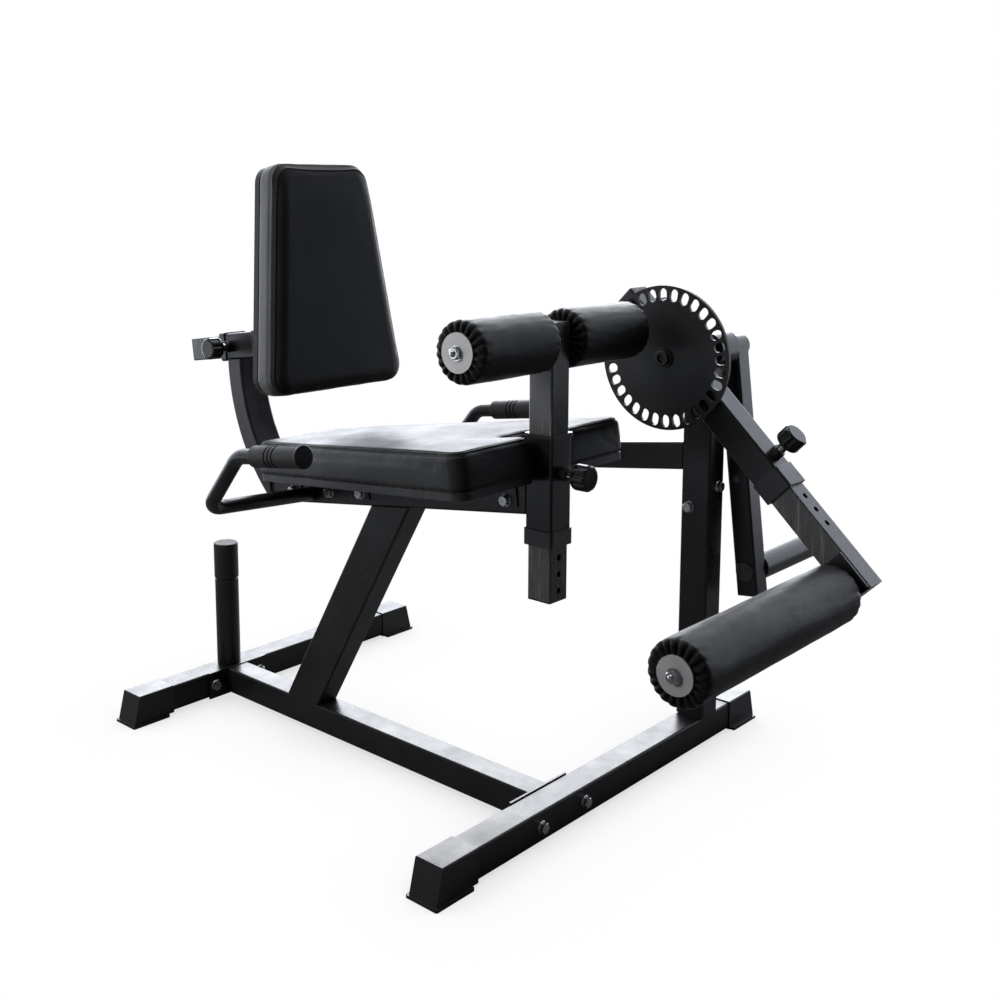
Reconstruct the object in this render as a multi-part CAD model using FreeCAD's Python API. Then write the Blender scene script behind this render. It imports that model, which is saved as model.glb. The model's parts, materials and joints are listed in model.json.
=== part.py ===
import FreeCAD, Part
import math
import os

# Plate-loaded leg extension machine.  All sizes are in millimetres.
# +X points to the user's left, +Y to the rear (backrest side), +Z up.
# Working origin: floor level, under the seat centreline, at the front crossbar's centreline.

V = FreeCAD.Vector
X_DIR = V(1, 0, 0)
Y_DIR = V(0, 1, 0)
Z_DIR = V(0, 0, 1)
ORIGIN = V(0, 0, 0)

# ---- steel tube stock ----
TUBE = 50.0
TUBE_WALL = 2.0
TUBE_CORNER = 4.0
SLIDE_TUBE = 44.0
SLIDE_WALL = 2.0
SLIDE_CORNER = 3.0
BUSH_GAP = 0.1
PLUG_THICK = 3.0
PLUG_DEPTH = 10.0
CUT_REACH = 400.0
SPARE = 20.0

# ---- floor frame ----
BAR_BOTTOM = 7.0
BAR_TOP = BAR_BOTTOM + TUBE
BAR_MID = BAR_BOTTOM + TUBE / 2
FRONT_BAR_LEFT = -280.0
FRONT_BAR_RIGHT = 580.0
REAR_BAR_Y = 830.0
REAR_BAR_LEFT = -228.0
REAR_BAR_RIGHT = 488.0
END_PLATE_HALF = 71.0
END_PLATE_THICK = 4.0
END_PLATE_BOTTOM = 5.0
END_PLATE_TOP = 58.5
BASE_BOLT_X = 56.0
BASE_BOLT_Z = 31.0
FOOT_LENGTH = 72.0
FOOT_WALL = 2.0
FOOT_END_TOP = 4.0
FOOT_END_BOTTOM = 18.0
FOOT_FLANGE = 4.0
FOOT_FLANGE_SHORT = 12.0
FOOT_FLANGE_HEIGHT = 5.0
FOOT_EDGE = 3.0

# ---- plate storage post ----
POST_RADIUS = 23.5
POST_HEIGHT = 180.0
POST_SLEEVE_RADIUS = 24.3
POST_SLEEVE_HEIGHT = 72.0
POST_SLEEVE_EDGE = 2.5
POST_SPIGOT_RADIUS = 21.0
POST_WALL = 3.0
POST_CROWN = 6.0
POST_EDGE = 2.0

# ---- seat support ----
RAIL_TILT = 7.5
RAIL_ZERO = V(0, 0, 514.9)
RAIL_FRONT = 38.6
RAIL_REAR = 650.0
SEAT_POST_LEAN = 30.0
SEAT_POST_DEPTH = 75.0
SEAT_POST_REAR = 617.0
SIDE_BAR_LEFT = 408.0
CROSS_TUBE_START = 290.0
BRACKET_THICK = 3.0
BRACKET_HALF = 60.0
BRACKET_DROP = 38.0
BRACKET_SPANS = ((50.0, 95.0), (383.0, 505.0), (562.0, 606.0))
RAIL_BOLT_Y = (72.0, 403.0, 484.0, 584.0)
RAIL_BOLT_Z = 22.0

# ---- seat cushion ----
SEAT_FRONT = 2.0
SEAT_REAR = 588.0
SEAT_FRONT_HALF = 207.0
SEAT_REAR_HALF = 100.0
SEAT_NOTCH_HALF = 36.0
SEAT_NOTCH_DEPTH = 68.0
SEAT_BOARD_THICK = 12.0
SEAT_PAD_THICK = 60.0
SEAT_CORNER = 20.0
SEAT_NOTCH_CORNER = 14.0
SEAT_EDGE = 12.0
SOFT_GAP = 0.2

# ---- thigh roller post ----
THIGH_Y = 13.0
SLEEVE_BOTTOM = 466.5
SLEEVE_TOP = 637.0
COLLAR_PROUD = 2.4
COLLAR_CORNER = 5.0
COLLAR_HEIGHT = 25.5
TOP_COLLAR_HEIGHT = 6.0
SLIDE_COLLAR_HEIGHT = 14.0
COLLAR_LIP = 2.0
THIGH_TUBE_BOTTOM = 379.0
THIGH_TUBE_TOP = 806.0
THIGH_ROLLER_Z = 780.0
PIN_PITCH = 26.5
THIGH_PIN_Z = 578.0
THIGH_HOLES_BELOW = 7
THIGH_HOLES_ABOVE = 1

# ---- rollers ----
ROLLER_RADIUS = 46.5
ROLLER_EDGE = 10.0
ROLLER_BORE = 12.58
BAR_RADIUS = 12.5
THIGH_ROLLER_IN = 27.0
THIGH_ROLLER_OUT = 206.0
END_DISC_THICK = 3.0
ROLLER_PLAY = 0.5
THIGH_DISC_RADIUS = 29.0
ANKLE_DISC_RADIUS = 27.0
ANKLE_ROLLER_NEAR = -171.0
ANKLE_ROLLER_FAR = 273.0

# ---- upright, pivot and weight arm ----
PIVOT_Y = -20.0
PIVOT_Z = 730.0
PIVOT = V(0, PIVOT_Y, PIVOT_Z)
UPRIGHT_LEFT = 408.0
UPRIGHT_DEPTH = 56.0
UPRIGHT_TOP = PIVOT_Z - 8.0
UPRIGHT_BOLT_X = 7.0
UPRIGHT_BOLT_Y = 12.0
UPRIGHT_BOLT_HIGH = 484.0
UPRIGHT_BOLT_LOW = 446.0
SHAFT_RADIUS = 15.0
RUNNING_BORE = 15.06
SHAFT_LEFT = 263.0
SHAFT_RIGHT = 517.0
SHAFT_WASHER_RADIUS = 16.5
SHAFT_WASHER_THICK = 1.6
SHAFT_HEAD_RADIUS = 13.0
SHAFT_HEAD_HEIGHT = 5.5
SHAFT_HEAD_EDGE = 1.4
SHAFT_SOCKET_FLATS = 14.0
HOUSING_RADIUS = 30.0
HOUSING_LEFT = 404.0
HOUSING_RIGHT = 463.0
ARM_WIDTH = 40.0
ARM_CENTRE = 490.0
ARM_LEAN = 7.0
ARM_LENGTH = 446.0
ARM_HUB_RADIUS = 20.0
ARM_HUB_HALF = 24.0
HORN_DISTANCE = 404.0
HORN_RADIUS = 25.0
HORN_LENGTH = 220.0
HORN_CAP_THICK = 6.0
HORN_CAP_RADIUS = 24.5
HORN_CAP_EDGE = 2.0
HORN_SPIGOT_RADIUS = 17.0
HORN_SPIGOT_PROUD = 3.0

# ---- index disc ----
DISC_LEFT = 265.0
DISC_THICK = 6.0
DISC_RADIUS = 120.0
SLOT_COUNT = 32
SLOT_PHASE = -2.75
SLOT_CENTRE = 105.0
SLOT_WIDTH = 15.0
SLOT_LENGTH = 21.0

# ---- lever ----
LEVER_CENTRE = 304.0
LEVER_DROP = 44.2
LEVER_BACK = 131.0
LEVER_FRONT = 257.0
LEVER_BUSH_END = 288.0
LEVER_COLLAR_GRIP = 6.0
LEVER_HUB_RADIUS = 22.0
LEVER_HUB_LEFT = 274.0
LEVER_HUB_RIGHT = 399.0
LEVER_PIN = 231.0
LEVER_SLIDE_START = 60.0
LEVER_SLIDE_END = 475.5
LEVER_HOLES_IN = 4
LEVER_HOLES_OUT = 5
ANKLE_ALONG = 454.0
ANKLE_BELOW = 29.0
MOUNT_PLATE_THICK = 4.0
MOUNT_PLATE_OUT = 22.0
MOUNT_PLATE_IN = 42.0
INDEX_PIN_ANGLE = 1.95

# ---- pull pins ----
PIN_RADIUS = 4.9
PIN_BORE = 5.0
BOSS_RADIUS = 11.0
BOSS_LENGTH = 14.0
BOSS_EDGE = 2.0
STEM_LENGTH = 14.0
SHOULDER_RADIUS = 8.0
KNOB_RADIUS = 20.5
KNOB_LENGTH = 27.0
KNOB_EDGE = 5.0
KNOB_NECK_RADIUS = 13.0
KNOB_NECK_HEIGHT = 7.0
KNOB_CROWN = 7.0
KNOB_FLUTES = 9
FLUTE_RADIUS = 5.5
FLUTE_OUT = 3.0
FLUTE_START = 5.0
PIN_TIP_GAP = 0.8

# ---- backrest ----
BACK_FOOT = V(0, 471.6, 661.5)
BACK_RECLINE = 6.0
BACK_HEIGHT = 396.0
BACK_BOTTOM_HALF = 157.0
BACK_TOP_HALF = 106.0
BACK_PAD_THICK = 50.0
BACK_BOARD_THICK = 12.0
BACK_CORNER = 32.0
BACK_EDGE = 14.0
BACK_PLATE_THICK = 4.0
BACK_PLATE_HALF = 55.0
BACK_PLATE_BOTTOM = 25.0
BACK_PLATE_TOP = 150.0
BACK_PLATE_CORNER = 8.0
SLIDE_ZERO = V(0, 737.0, 717.7)
SLIDE_REAR = 151.0
SLIDE_FRONT = -215.0
BACK_SLEEVE_HALF = 54.0
BACK_PIN_ALONG = 27.0
BACK_HOLES_AHEAD = 4
CURVE_RADIUS = 340.0
CURVE_CENTRE_Y = 408.5
CURVE_CENTRE_Z = 700.0
CURVE_WIDTH = 60.0
CURVE_DEPTH = 40.0
CURVE_WALL = 2.5
CURVE_START = -8.0
CURVE_END = 60.0

# ---- side handles ----
HANDLE_RADIUS = 12.5
HANDLE_WALL = 2.0
HANDLE_BEND = 38.0
HANDLE_ROOT = V(25.0, 535.0, 462.0)
HANDLE_CORNER = V(289.0, 491.0, 491.0)
HANDLE_SHOULDER = V(289.0, 408.0, 590.5)
HANDLE_TIP = V(289.0, 254.0, 611.0)
GRIP_RADIUS = 17.5
GRIP_LENGTH = 111.0
GRIP_CAP_RADIUS = 18.5
GRIP_CAP_THICK = 6.0
GRIP_GROOVES = (40.0, 49.0, 58.0)
GRIP_EDGE = 2.0
GRIP_CAP_EDGE = 1.5
GROOVE_WIDTH = 3.4
GROOVE_DEPTH = 1.8

# ---- fasteners ----
BOLT_RADIUS = 5.0
BOLT_LENGTH = 70.0
BOLT_HOLE = 5.3
HEAD_FLATS = 16.0
HEX_CHAMFER = 0.6
HEX_CHAMFER_SLOPE = 1.6
HEAD_HEIGHT = 6.5
FLANGE_RADIUS = 10.5
FLANGE_HEIGHT = 1.8
NUT_HEIGHT = 9.0
END_WASHER_RADIUS = 11.0
END_WASHER_THICK = 1.6
END_HEAD_FLATS = 16.0
END_HEAD_HEIGHT = 7.0
END_TIP_RADIUS = 5.0
END_TIP_SUNK = 0.6


# ------------------------------------------------------------------ helpers

def box(x0, x1, y0, y1, z0, z1):
    return Part.makeBox(x1 - x0, y1 - y0, z1 - z0, V(x0, y0, z0))


def rod(radius, start, direction, length):
    return Part.makeCylinder(radius, length, start, direction)


def is_parallel(edge, direction):
    tangent = edge.tangentAt(edge.FirstParameter)
    return abs(tangent.dot(direction)) > 0.999


def prism(width, depth, length, corner):
    """Bar standing on the floor plane, centred on the Z axis, with rounded long edges."""
    shape = box(-width / 2, width / 2, -depth / 2, depth / 2, 0, length)
    long_edges = [edge for edge in shape.Edges if is_parallel(edge, Z_DIR)]
    return shape.makeFillet(corner, long_edges)


def tube(width, depth, length, wall, corner):
    outer = prism(width, depth, length, corner)
    inner = prism(width - 2 * wall, depth - 2 * wall, length + 2, corner - wall / 2)
    return outer.cut(inner.translated(V(0, 0, -1)))


def lay_along_x(shape, start):
    return shape.rotated(ORIGIN, Y_DIR, 90).translated(start)


def lay_along_y(shape, start):
    return shape.rotated(ORIGIN, X_DIR, -90).translated(start)


def tilt(shape, degrees, place):
    return shape.rotated(ORIGIN, X_DIR, degrees).translated(place)


def on_rail(shape):
    """Rail frame: Y runs rearward along the rail, Z square to it, zero on its underside."""
    return tilt(shape, -RAIL_TILT, RAIL_ZERO)


def on_slide(shape):
    """Backrest slide frame: Y runs rearward along the slide tube's centreline."""
    return tilt(shape, -RAIL_TILT, SLIDE_ZERO)


def on_back(shape):
    """Backrest frame: Z runs up the cushion face, Y into its thickness."""
    return tilt(shape, -BACK_RECLINE, BACK_FOOT)


def on_lever(shape):
    """Lever frame: zero at the pivot, -Y runs out to the ankle roller, Z is the upper face."""
    return tilt(shape, LEVER_DROP, PIVOT)


def on_arm(shape):
    """Weight arm frame: zero at the pivot, -Z runs down the arm."""
    return tilt(shape, -ARM_LEAN, PIVOT)


def mirror_x(shape):
    return shape.mirror(ORIGIN, X_DIR)


def hexagon(flats, height):
    corner = flats / math.sqrt(3)
    points = []
    for index in range(7):
        angle = math.radians(60 * index)
        points.append(V(corner * math.cos(angle), corner * math.sin(angle), 0))
    shape = Part.Face(Part.makePolygon(points)).extrude(V(0, 0, height))
    dome = Part.makeCone(flats / 2 + height * HEX_CHAMFER_SLOPE, flats / 2 - HEX_CHAMFER, height)
    return shape.common(dome)


def aim(shape, start, direction):
    """Turns a shape built up the Z axis so that it points along direction from start."""
    turn = FreeCAD.Rotation(Z_DIR, direction)
    placed = shape.copy()
    placed.Placement = FreeCAD.Placement(start, turn).multiply(shape.Placement)
    return placed


def flange_bolt(start, direction):
    """Hexagon flange bolt: start is on the clamped face, direction points out of it."""
    shank = Part.makeCylinder(BOLT_RADIUS, BOLT_LENGTH, V(0, 0, -BOLT_LENGTH))
    flange = Part.makeCone(FLANGE_RADIUS, FLANGE_RADIUS - 1, FLANGE_HEIGHT)
    head = hexagon(HEAD_FLATS, HEAD_HEIGHT).translated(V(0, 0, FLANGE_HEIGHT))
    return aim(shank.fuse([flange, head]).removeSplitter(), start, direction)


def flange_nut(start, direction, grip):
    """The nut that closes the bolt made by flange_bolt with the same arguments."""
    flange = Part.makeCylinder(FLANGE_RADIUS, FLANGE_HEIGHT)
    body = hexagon(HEAD_FLATS, NUT_HEIGHT - FLANGE_HEIGHT).translated(V(0, 0, FLANGE_HEIGHT))
    thread = Part.makeCylinder(BOLT_RADIUS, NUT_HEIGHT)
    nut = flange.fuse(body).removeSplitter().cut(thread)
    return aim(nut, start - direction * grip, direction * -1)


def bolt_hole(start, direction, grip):
    return rod(BOLT_HOLE, start + direction, direction * -1, grip + 2)


def collar(outer, inner, corner, height, lip):
    """Plastic sleeve collar: a square ring with a lip that narrows onto the sliding tube."""
    ring = prism(outer, outer, height, corner)
    hollow = prism(inner, inner, height - lip, corner / 2)
    mouth = SLIDE_TUBE + 2 * BUSH_GAP
    opening = prism(mouth, mouth, height + 2, SLIDE_CORNER).translated(V(0, 0, -1))
    return ring.cut(hollow).cut(opening)


def plug(width, corner, wall):
    """Plastic end plug: a square cap with a shallower spigot that fits inside the tube."""
    cap = prism(width, width, PLUG_THICK, corner)
    inner = width - 2 * wall - 2 * BUSH_GAP
    spigot = prism(inner, inner, PLUG_DEPTH, corner - wall / 2)
    spigot = spigot.translated(V(0, 0, -PLUG_DEPTH))
    return cap.fuse(spigot)


def fluted_knob():
    """Round plastic grip of a pull pin, built up the Z axis, with finger flutes."""
    body = Part.makeCylinder(KNOB_RADIUS, KNOB_LENGTH)
    rims = [edge for edge in body.Edges if isinstance(edge.Curve, Part.Circle)]
    body = body.makeFillet(KNOB_EDGE, rims)
    neck = Part.makeCylinder(KNOB_NECK_RADIUS, KNOB_NECK_HEIGHT)
    flutes = []
    for index in range(KNOB_FLUTES):
        angle = 2 * math.pi * index / KNOB_FLUTES
        place = V(math.cos(angle), math.sin(angle), 0) * (KNOB_RADIUS + FLUTE_OUT)
        flutes.append(rod(FLUTE_RADIUS, place + V(0, 0, FLUTE_START), Z_DIR, KNOB_LENGTH))
    bore = Part.makeCylinder(PIN_RADIUS, KNOB_LENGTH - KNOB_CROWN)
    return body.cut(flutes).fuse(neck).cut(bore)


def pin_boss():
    """Weld-on guide of a pull pin, standing on its tube face."""
    body = Part.makeCylinder(BOSS_RADIUS, BOSS_LENGTH)
    rim = [edge for edge in body.Edges if edge.BoundBox.ZMin > BOSS_LENGTH - 0.1]
    body = body.makeFillet(BOSS_EDGE, rim)
    return body.cut(Part.makeCylinder(PIN_BORE, BOSS_LENGTH + 2, V(0, 0, -1)))


def pin_stem(reach):
    """Steel pin with a shoulder; reach is how far it goes below the tube face."""
    shaft_top = BOSS_LENGTH + STEM_LENGTH + KNOB_LENGTH - KNOB_CROWN
    shaft = Part.makeCylinder(PIN_RADIUS, shaft_top + reach, V(0, 0, -reach))
    shoulder = Part.makeCylinder(SHOULDER_RADIUS, STEM_LENGTH - 1, V(0, 0, BOSS_LENGTH + 1))
    return shaft.fuse(shoulder).removeSplitter()


def pull_pin(place, reach):
    """Returns the boss, the pin and the knob of one pull pin, each set in place."""
    knob = fluted_knob().translated(V(0, 0, BOSS_LENGTH + STEM_LENGTH))
    return place(pin_boss()), place(pin_stem(reach)), place(knob)


def end_bolt(start, direction):
    """Dome-headed bolt and washer that close the end of a roller bar."""
    washer = Part.makeCylinder(END_WASHER_RADIUS, END_WASHER_THICK)
    head = hexagon(END_HEAD_FLATS, END_HEAD_HEIGHT).translated(V(0, 0, END_WASHER_THICK))
    dome_base = V(0, 0, END_WASHER_THICK + END_HEAD_HEIGHT - END_TIP_SUNK)
    tip = Part.makeSphere(END_TIP_RADIUS, dome_base, Z_DIR, 0, 90, 360)
    return aim(washer.fuse([head, tip]).removeSplitter(), start, direction)


def bent_wire(points, bend):
    """Straight runs through the points, joined by arcs of one bend radius."""
    edges = []
    last = points[0]
    for before, corner, after in zip(points, points[1:], points[2:]):
        back = (before - corner).normalize()
        ahead = (after - corner).normalize()
        half = back.getAngle(ahead) / 2
        setback = bend / math.tan(half)
        first = corner + back * setback
        second = corner + ahead * setback
        middle_dir = (back + ahead).normalize()
        middle = corner + middle_dir * (bend / math.sin(half) - bend)
        edges.append(Part.makeLine(last, first))
        edges.append(Part.Arc(first, middle, second).toShape())
        last = second
    edges.append(Part.makeLine(last, points[-1]))
    return Part.Wire(edges)


def sweep_round(wire, start, direction, radius):
    ring = Part.Wire(Part.makeCircle(radius, start, direction))
    return wire.makePipeShell([ring], True, False)


def bent_tube(points, bend, radius, wall):
    wire = bent_wire(points, bend)
    heading = (points[1] - points[0]).normalize()
    outer = sweep_round(wire, points[0], heading, radius)
    inner = sweep_round(wire, points[0], heading, radius - wall)
    return outer.cut(inner)


def rounded_slab(outline, thick, corners):
    """Flat slab with a polygon outline; corners gives one radius per outline point."""
    closed = outline + [outline[0]]
    slab = Part.Face(Part.makePolygon(closed)).extrude(V(0, 0, thick))
    for point, radius in zip(outline, corners):
        edge = [e for e in slab.Edges if is_parallel(e, Z_DIR) and e.BoundBox.isInside(point)]
        slab = slab.makeFillet(radius, edge)
    return slab


def soften(slab, height, radius):
    """Rounds every edge of a slab that lies at one height."""
    rim = []
    for edge in slab.Edges:
        bounds = edge.BoundBox
        if abs(bounds.ZMin - height) < 0.01 and abs(bounds.ZMax - height) < 0.01:
            rim.append(edge)
    return slab.makeFillet(radius, rim)


# ------------------------------------------------------------- floor frame

def base_bolt_places():
    """Start point, outward direction and grip of the four floor frame bolts."""
    grip = TUBE + END_PLATE_THICK
    places = []
    for x in (-BASE_BOLT_X, BASE_BOLT_X):
        places.append((V(x, -TUBE / 2, BASE_BOLT_Z), Y_DIR * -1, grip))
        rear_face = REAR_BAR_Y - TUBE / 2 - END_PLATE_THICK
        places.append((V(x, rear_face, BASE_BOLT_Z), Y_DIR * -1, grip))
    return places


def rail_bolt_places():
    """Start point, outward direction and grip of the cross bolts in the seat rail."""
    grip = TUBE + 2 * BRACKET_THICK
    places = []
    for y in RAIL_BOLT_Y:
        local = Part.Vertex(V(-grip / 2, y, RAIL_BOLT_Z))
        places.append((on_rail(local).Point, X_DIR * -1, grip))
    return places


def upright_bolt_places():
    """The two cross bolts of the upright: one front to back, one side to side."""
    middle = UPRIGHT_LEFT + TUBE / 2
    front_face = V(middle + UPRIGHT_BOLT_X, -UPRIGHT_DEPTH / 2, UPRIGHT_BOLT_HIGH)
    side_face = V(UPRIGHT_LEFT, UPRIGHT_BOLT_Y, UPRIGHT_BOLT_LOW)
    front = (front_face, Y_DIR * -1, UPRIGHT_DEPTH)
    side = (side_face, X_DIR * -1, TUBE)
    return [front, side]


def crossbar(left, right, y, bolt_places):
    bar = tube(TUBE, TUBE, right - left, TUBE_WALL, TUBE_CORNER)
    bar = lay_along_x(bar, V(left, y, BAR_MID))
    return bar.cut([bolt_hole(*place) for place in bolt_places])


def main_beam():
    front = TUBE / 2 + END_PLATE_THICK
    rear = REAR_BAR_Y - TUBE / 2 - END_PLATE_THICK
    beam = tube(TUBE, TUBE, rear - front, TUBE_WALL, TUBE_CORNER)
    return lay_along_y(beam, V(0, front, BAR_MID))


def beam_end_plates():
    plates = []
    for y in (TUBE / 2, REAR_BAR_Y - TUBE / 2 - END_PLATE_THICK):
        plate = box(-END_PLATE_HALF, END_PLATE_HALF, y, y + END_PLATE_THICK,
                    END_PLATE_BOTTOM, END_PLATE_TOP)
        plates.append(plate.cut([bolt_hole(*place) for place in base_bolt_places()]))
    return plates


def foot_cap(bar_end, y, outward):
    """End cap and foot of a crossbar; outward is -1 or +1 along X."""
    top = BAR_TOP + FOOT_WALL
    inner_end = bar_end - outward * FOOT_LENGTH
    upper_end = bar_end + outward * FOOT_END_TOP
    lower_end = bar_end + outward * FOOT_END_BOTTOM
    corners = [V(inner_end, 0, FOOT_FLANGE_HEIGHT), V(lower_end, 0, FOOT_FLANGE_HEIGHT),
               V(upper_end, 0, top), V(inner_end, 0, top)]
    half = TUBE / 2 + FOOT_WALL
    side = Part.Face(Part.makePolygon(corners + [corners[0]]))
    block = side.extrude(V(0, 2 * half, 0)).translated(V(0, -half, 0))
    outer = [e for e in block.Edges if e.BoundBox.ZMin > FOOT_FLANGE_HEIGHT + 1
             and is_parallel(e, X_DIR)]
    block = block.makeFillet(FOOT_EDGE, outer)
    flange_start = inner_end + outward * FOOT_FLANGE_SHORT
    flange_end = lower_end + outward * FOOT_FLANGE
    low = min(flange_start, flange_end)
    high = max(flange_start, flange_end)
    reach = half + FOOT_FLANGE
    flange = box(low, high, -reach, reach, 0, FOOT_FLANGE_HEIGHT)
    rims = [e for e in flange.Edges if is_parallel(e, Z_DIR)]
    flange = flange.makeFillet(FOOT_EDGE, rims)
    hollow = box(min(inner_end - outward, bar_end), max(inner_end - outward, bar_end),
                 -TUBE / 2, TUBE / 2, BAR_BOTTOM, BAR_TOP)
    return block.fuse(flange).removeSplitter().cut(hollow).translated(V(0, y, 0))


def foot_caps():
    return [
        foot_cap(FRONT_BAR_LEFT, 0, -1),
        foot_cap(FRONT_BAR_RIGHT, 0, 1),
        foot_cap(REAR_BAR_LEFT, REAR_BAR_Y, -1),
        foot_cap(REAR_BAR_RIGHT, REAR_BAR_Y, 1),
    ]


def storage_post():
    """Plate storage post: a round tube with a turned-down spigot for its plastic sleeve."""
    foot = V(0, REAR_BAR_Y, BAR_TOP)
    body = rod(POST_RADIUS, foot, Z_DIR, POST_HEIGHT)
    full = POST_HEIGHT + POST_SLEEVE_HEIGHT
    spigot = rod(POST_SPIGOT_RADIUS, foot, Z_DIR, full - POST_CROWN)
    bore = rod(POST_SPIGOT_RADIUS - POST_WALL, foot, Z_DIR, full)
    rim = [e for e in body.Edges if e.BoundBox.ZMin > BAR_TOP + POST_HEIGHT - 0.1]
    body = body.makeFillet(POST_EDGE, rim)
    return body.fuse(spigot).cut(bore)


def storage_sleeve():
    start = V(0, REAR_BAR_Y, BAR_TOP + POST_HEIGHT)
    body = rod(POST_SLEEVE_RADIUS, start, Z_DIR, POST_SLEEVE_HEIGHT)
    rims = [e for e in body.Edges if isinstance(e.Curve, Part.Circle)]
    body = body.makeFillet(POST_SLEEVE_EDGE, rims)
    return body.cut(rod(POST_SPIGOT_RADIUS, start, Z_DIR, POST_SLEEVE_HEIGHT - POST_CROWN))


# ------------------------------------------------------------ seat support

def seat_post():
    """Slanted post from the main beam up to the seat rail."""
    post = tube(TUBE, SEAT_POST_DEPTH, 2 * CUT_REACH, TUBE_WALL, TUBE_CORNER)
    foot_depth = SEAT_POST_DEPTH / math.cos(math.radians(SEAT_POST_LEAN))
    post = post.translated(V(0, 0, -CUT_REACH / 3))
    post = tilt(post, SEAT_POST_LEAN, V(0, SEAT_POST_REAR - foot_depth / 2, BAR_TOP))
    below = box(-CUT_REACH, CUT_REACH, -CUT_REACH, 2 * CUT_REACH, -CUT_REACH, BAR_TOP)
    above = on_rail(box(-CUT_REACH, CUT_REACH, -CUT_REACH, 2 * CUT_REACH, 0, 2 * CUT_REACH))
    return post.cut([below, above])


def seat_rail():
    rail = tube(TUBE, TUBE, RAIL_REAR - RAIL_FRONT + SPARE, TUBE_WALL, TUBE_CORNER)
    rail = on_rail(lay_along_y(rail, V(0, RAIL_FRONT - SPARE, TUBE / 2)))
    sleeve_rear = THIGH_Y + TUBE / 2
    front_zone = box(-CUT_REACH, CUT_REACH, -CUT_REACH, sleeve_rear, 0, 3 * CUT_REACH)
    return rail.cut([front_zone] + [bolt_hole(*place) for place in rail_bolt_places()])


def mitre_side(near, far):
    """Half space beside the 45 degree mitre where the side bar meets the cross tube."""
    block = box(near, far, -CUT_REACH, CUT_REACH, -CUT_REACH, CUT_REACH)
    return block.rotated(ORIGIN, Z_DIR, -45).translated(V(SIDE_BAR_LEFT, CROSS_TUBE_START, 0))


def side_bar():
    """Bar parallel to the rail, from the upright back to its mitre with the cross tube."""
    bar = tube(TUBE, TUBE, CROSS_TUBE_START + TUBE + SPARE, TUBE_WALL, TUBE_CORNER)
    bar = lay_along_y(bar, V(SIDE_BAR_LEFT + TUBE / 2, -SPARE, TUBE / 2))
    bar = on_rail(bar.cut(mitre_side(-CUT_REACH, 0)))
    front_zone = box(0, 2 * CUT_REACH, -CUT_REACH, UPRIGHT_DEPTH / 2, 0, 3 * CUT_REACH)
    return bar.cut(front_zone)


def cross_tube():
    start = V(TUBE / 2, CROSS_TUBE_START + TUBE / 2, TUBE / 2)
    bar = tube(TUBE, TUBE, SIDE_BAR_LEFT + TUBE / 2, TUBE_WALL, TUBE_CORNER)
    return on_rail(lay_along_x(bar, start).cut(mitre_side(0, CUT_REACH)))


def seat_bracket(front, rear):
    """Saddle bracket: a top plate under the seat board and a tab down each rail side."""
    side = TUBE / 2
    plate = box(-BRACKET_HALF, BRACKET_HALF, front, rear, TUBE, TUBE + BRACKET_THICK)
    left = box(-side - BRACKET_THICK, -side, front, rear, TUBE - BRACKET_DROP, TUBE)
    right = box(side, side + BRACKET_THICK, front, rear, TUBE - BRACKET_DROP, TUBE)
    saddle = on_rail(plate.fuse([left, right]).removeSplitter())
    return saddle.cut([bolt_hole(*place) for place in rail_bolt_places()])


def seat_brackets():
    return [seat_bracket(front, rear) for front, rear in BRACKET_SPANS]


def seat_outline(z):
    return [
        V(-SEAT_FRONT_HALF, SEAT_FRONT, z),
        V(-SEAT_NOTCH_HALF, SEAT_FRONT, z),
        V(-SEAT_NOTCH_HALF, SEAT_NOTCH_DEPTH, z),
        V(SEAT_NOTCH_HALF, SEAT_NOTCH_DEPTH, z),
        V(SEAT_NOTCH_HALF, SEAT_FRONT, z),
        V(SEAT_FRONT_HALF, SEAT_FRONT, z),
        V(SEAT_REAR_HALF, SEAT_REAR, z),
        V(-SEAT_REAR_HALF, SEAT_REAR, z),
    ]


def seat_corners():
    inner = SEAT_NOTCH_CORNER
    return [SEAT_CORNER, inner, inner, inner, inner, SEAT_CORNER, SEAT_CORNER, SEAT_CORNER]


def seat_board():
    bottom = TUBE + BRACKET_THICK
    slab = rounded_slab(seat_outline(0), SEAT_BOARD_THICK, seat_corners())
    return on_rail(slab.translated(V(0, 0, bottom)))


def seat_pad():
    bottom = TUBE + BRACKET_THICK + SEAT_BOARD_THICK + SOFT_GAP
    slab = rounded_slab(seat_outline(0), SEAT_PAD_THICK, seat_corners())
    slab = soften(slab, SEAT_PAD_THICK, SEAT_EDGE)
    return on_rail(slab.translated(V(0, 0, bottom)))


# ---------------------------------------------------------- thigh roller post

def thigh_pin_place(shape):
    return aim(shape, V(0, THIGH_Y - TUBE / 2, THIGH_PIN_Z), Y_DIR * -1)


def thigh_sleeve(boss):
    sleeve = tube(TUBE, TUBE, SLEEVE_TOP - SLEEVE_BOTTOM, TUBE_WALL, TUBE_CORNER)
    sleeve = sleeve.translated(V(0, THIGH_Y, SLEEVE_BOTTOM))
    hole = rod(PIN_BORE, V(0, THIGH_Y, THIGH_PIN_Z), Y_DIR * -1, TUBE)
    return sleeve.cut(hole).fuse(boss).removeSplitter()


def thigh_collars():
    outer = TUBE + 2 * COLLAR_PROUD
    low = collar(outer, TUBE, COLLAR_CORNER, COLLAR_HEIGHT, COLLAR_LIP)
    low = low.rotated(ORIGIN, X_DIR, 180)
    low = low.translated(V(0, THIGH_Y, SLEEVE_BOTTOM + COLLAR_HEIGHT - COLLAR_LIP))
    high = collar(outer, TUBE, COLLAR_CORNER, TOP_COLLAR_HEIGHT, COLLAR_LIP)
    high = high.translated(V(0, THIGH_Y, SLEEVE_TOP - TOP_COLLAR_HEIGHT + COLLAR_LIP))
    return [low, high]


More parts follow.
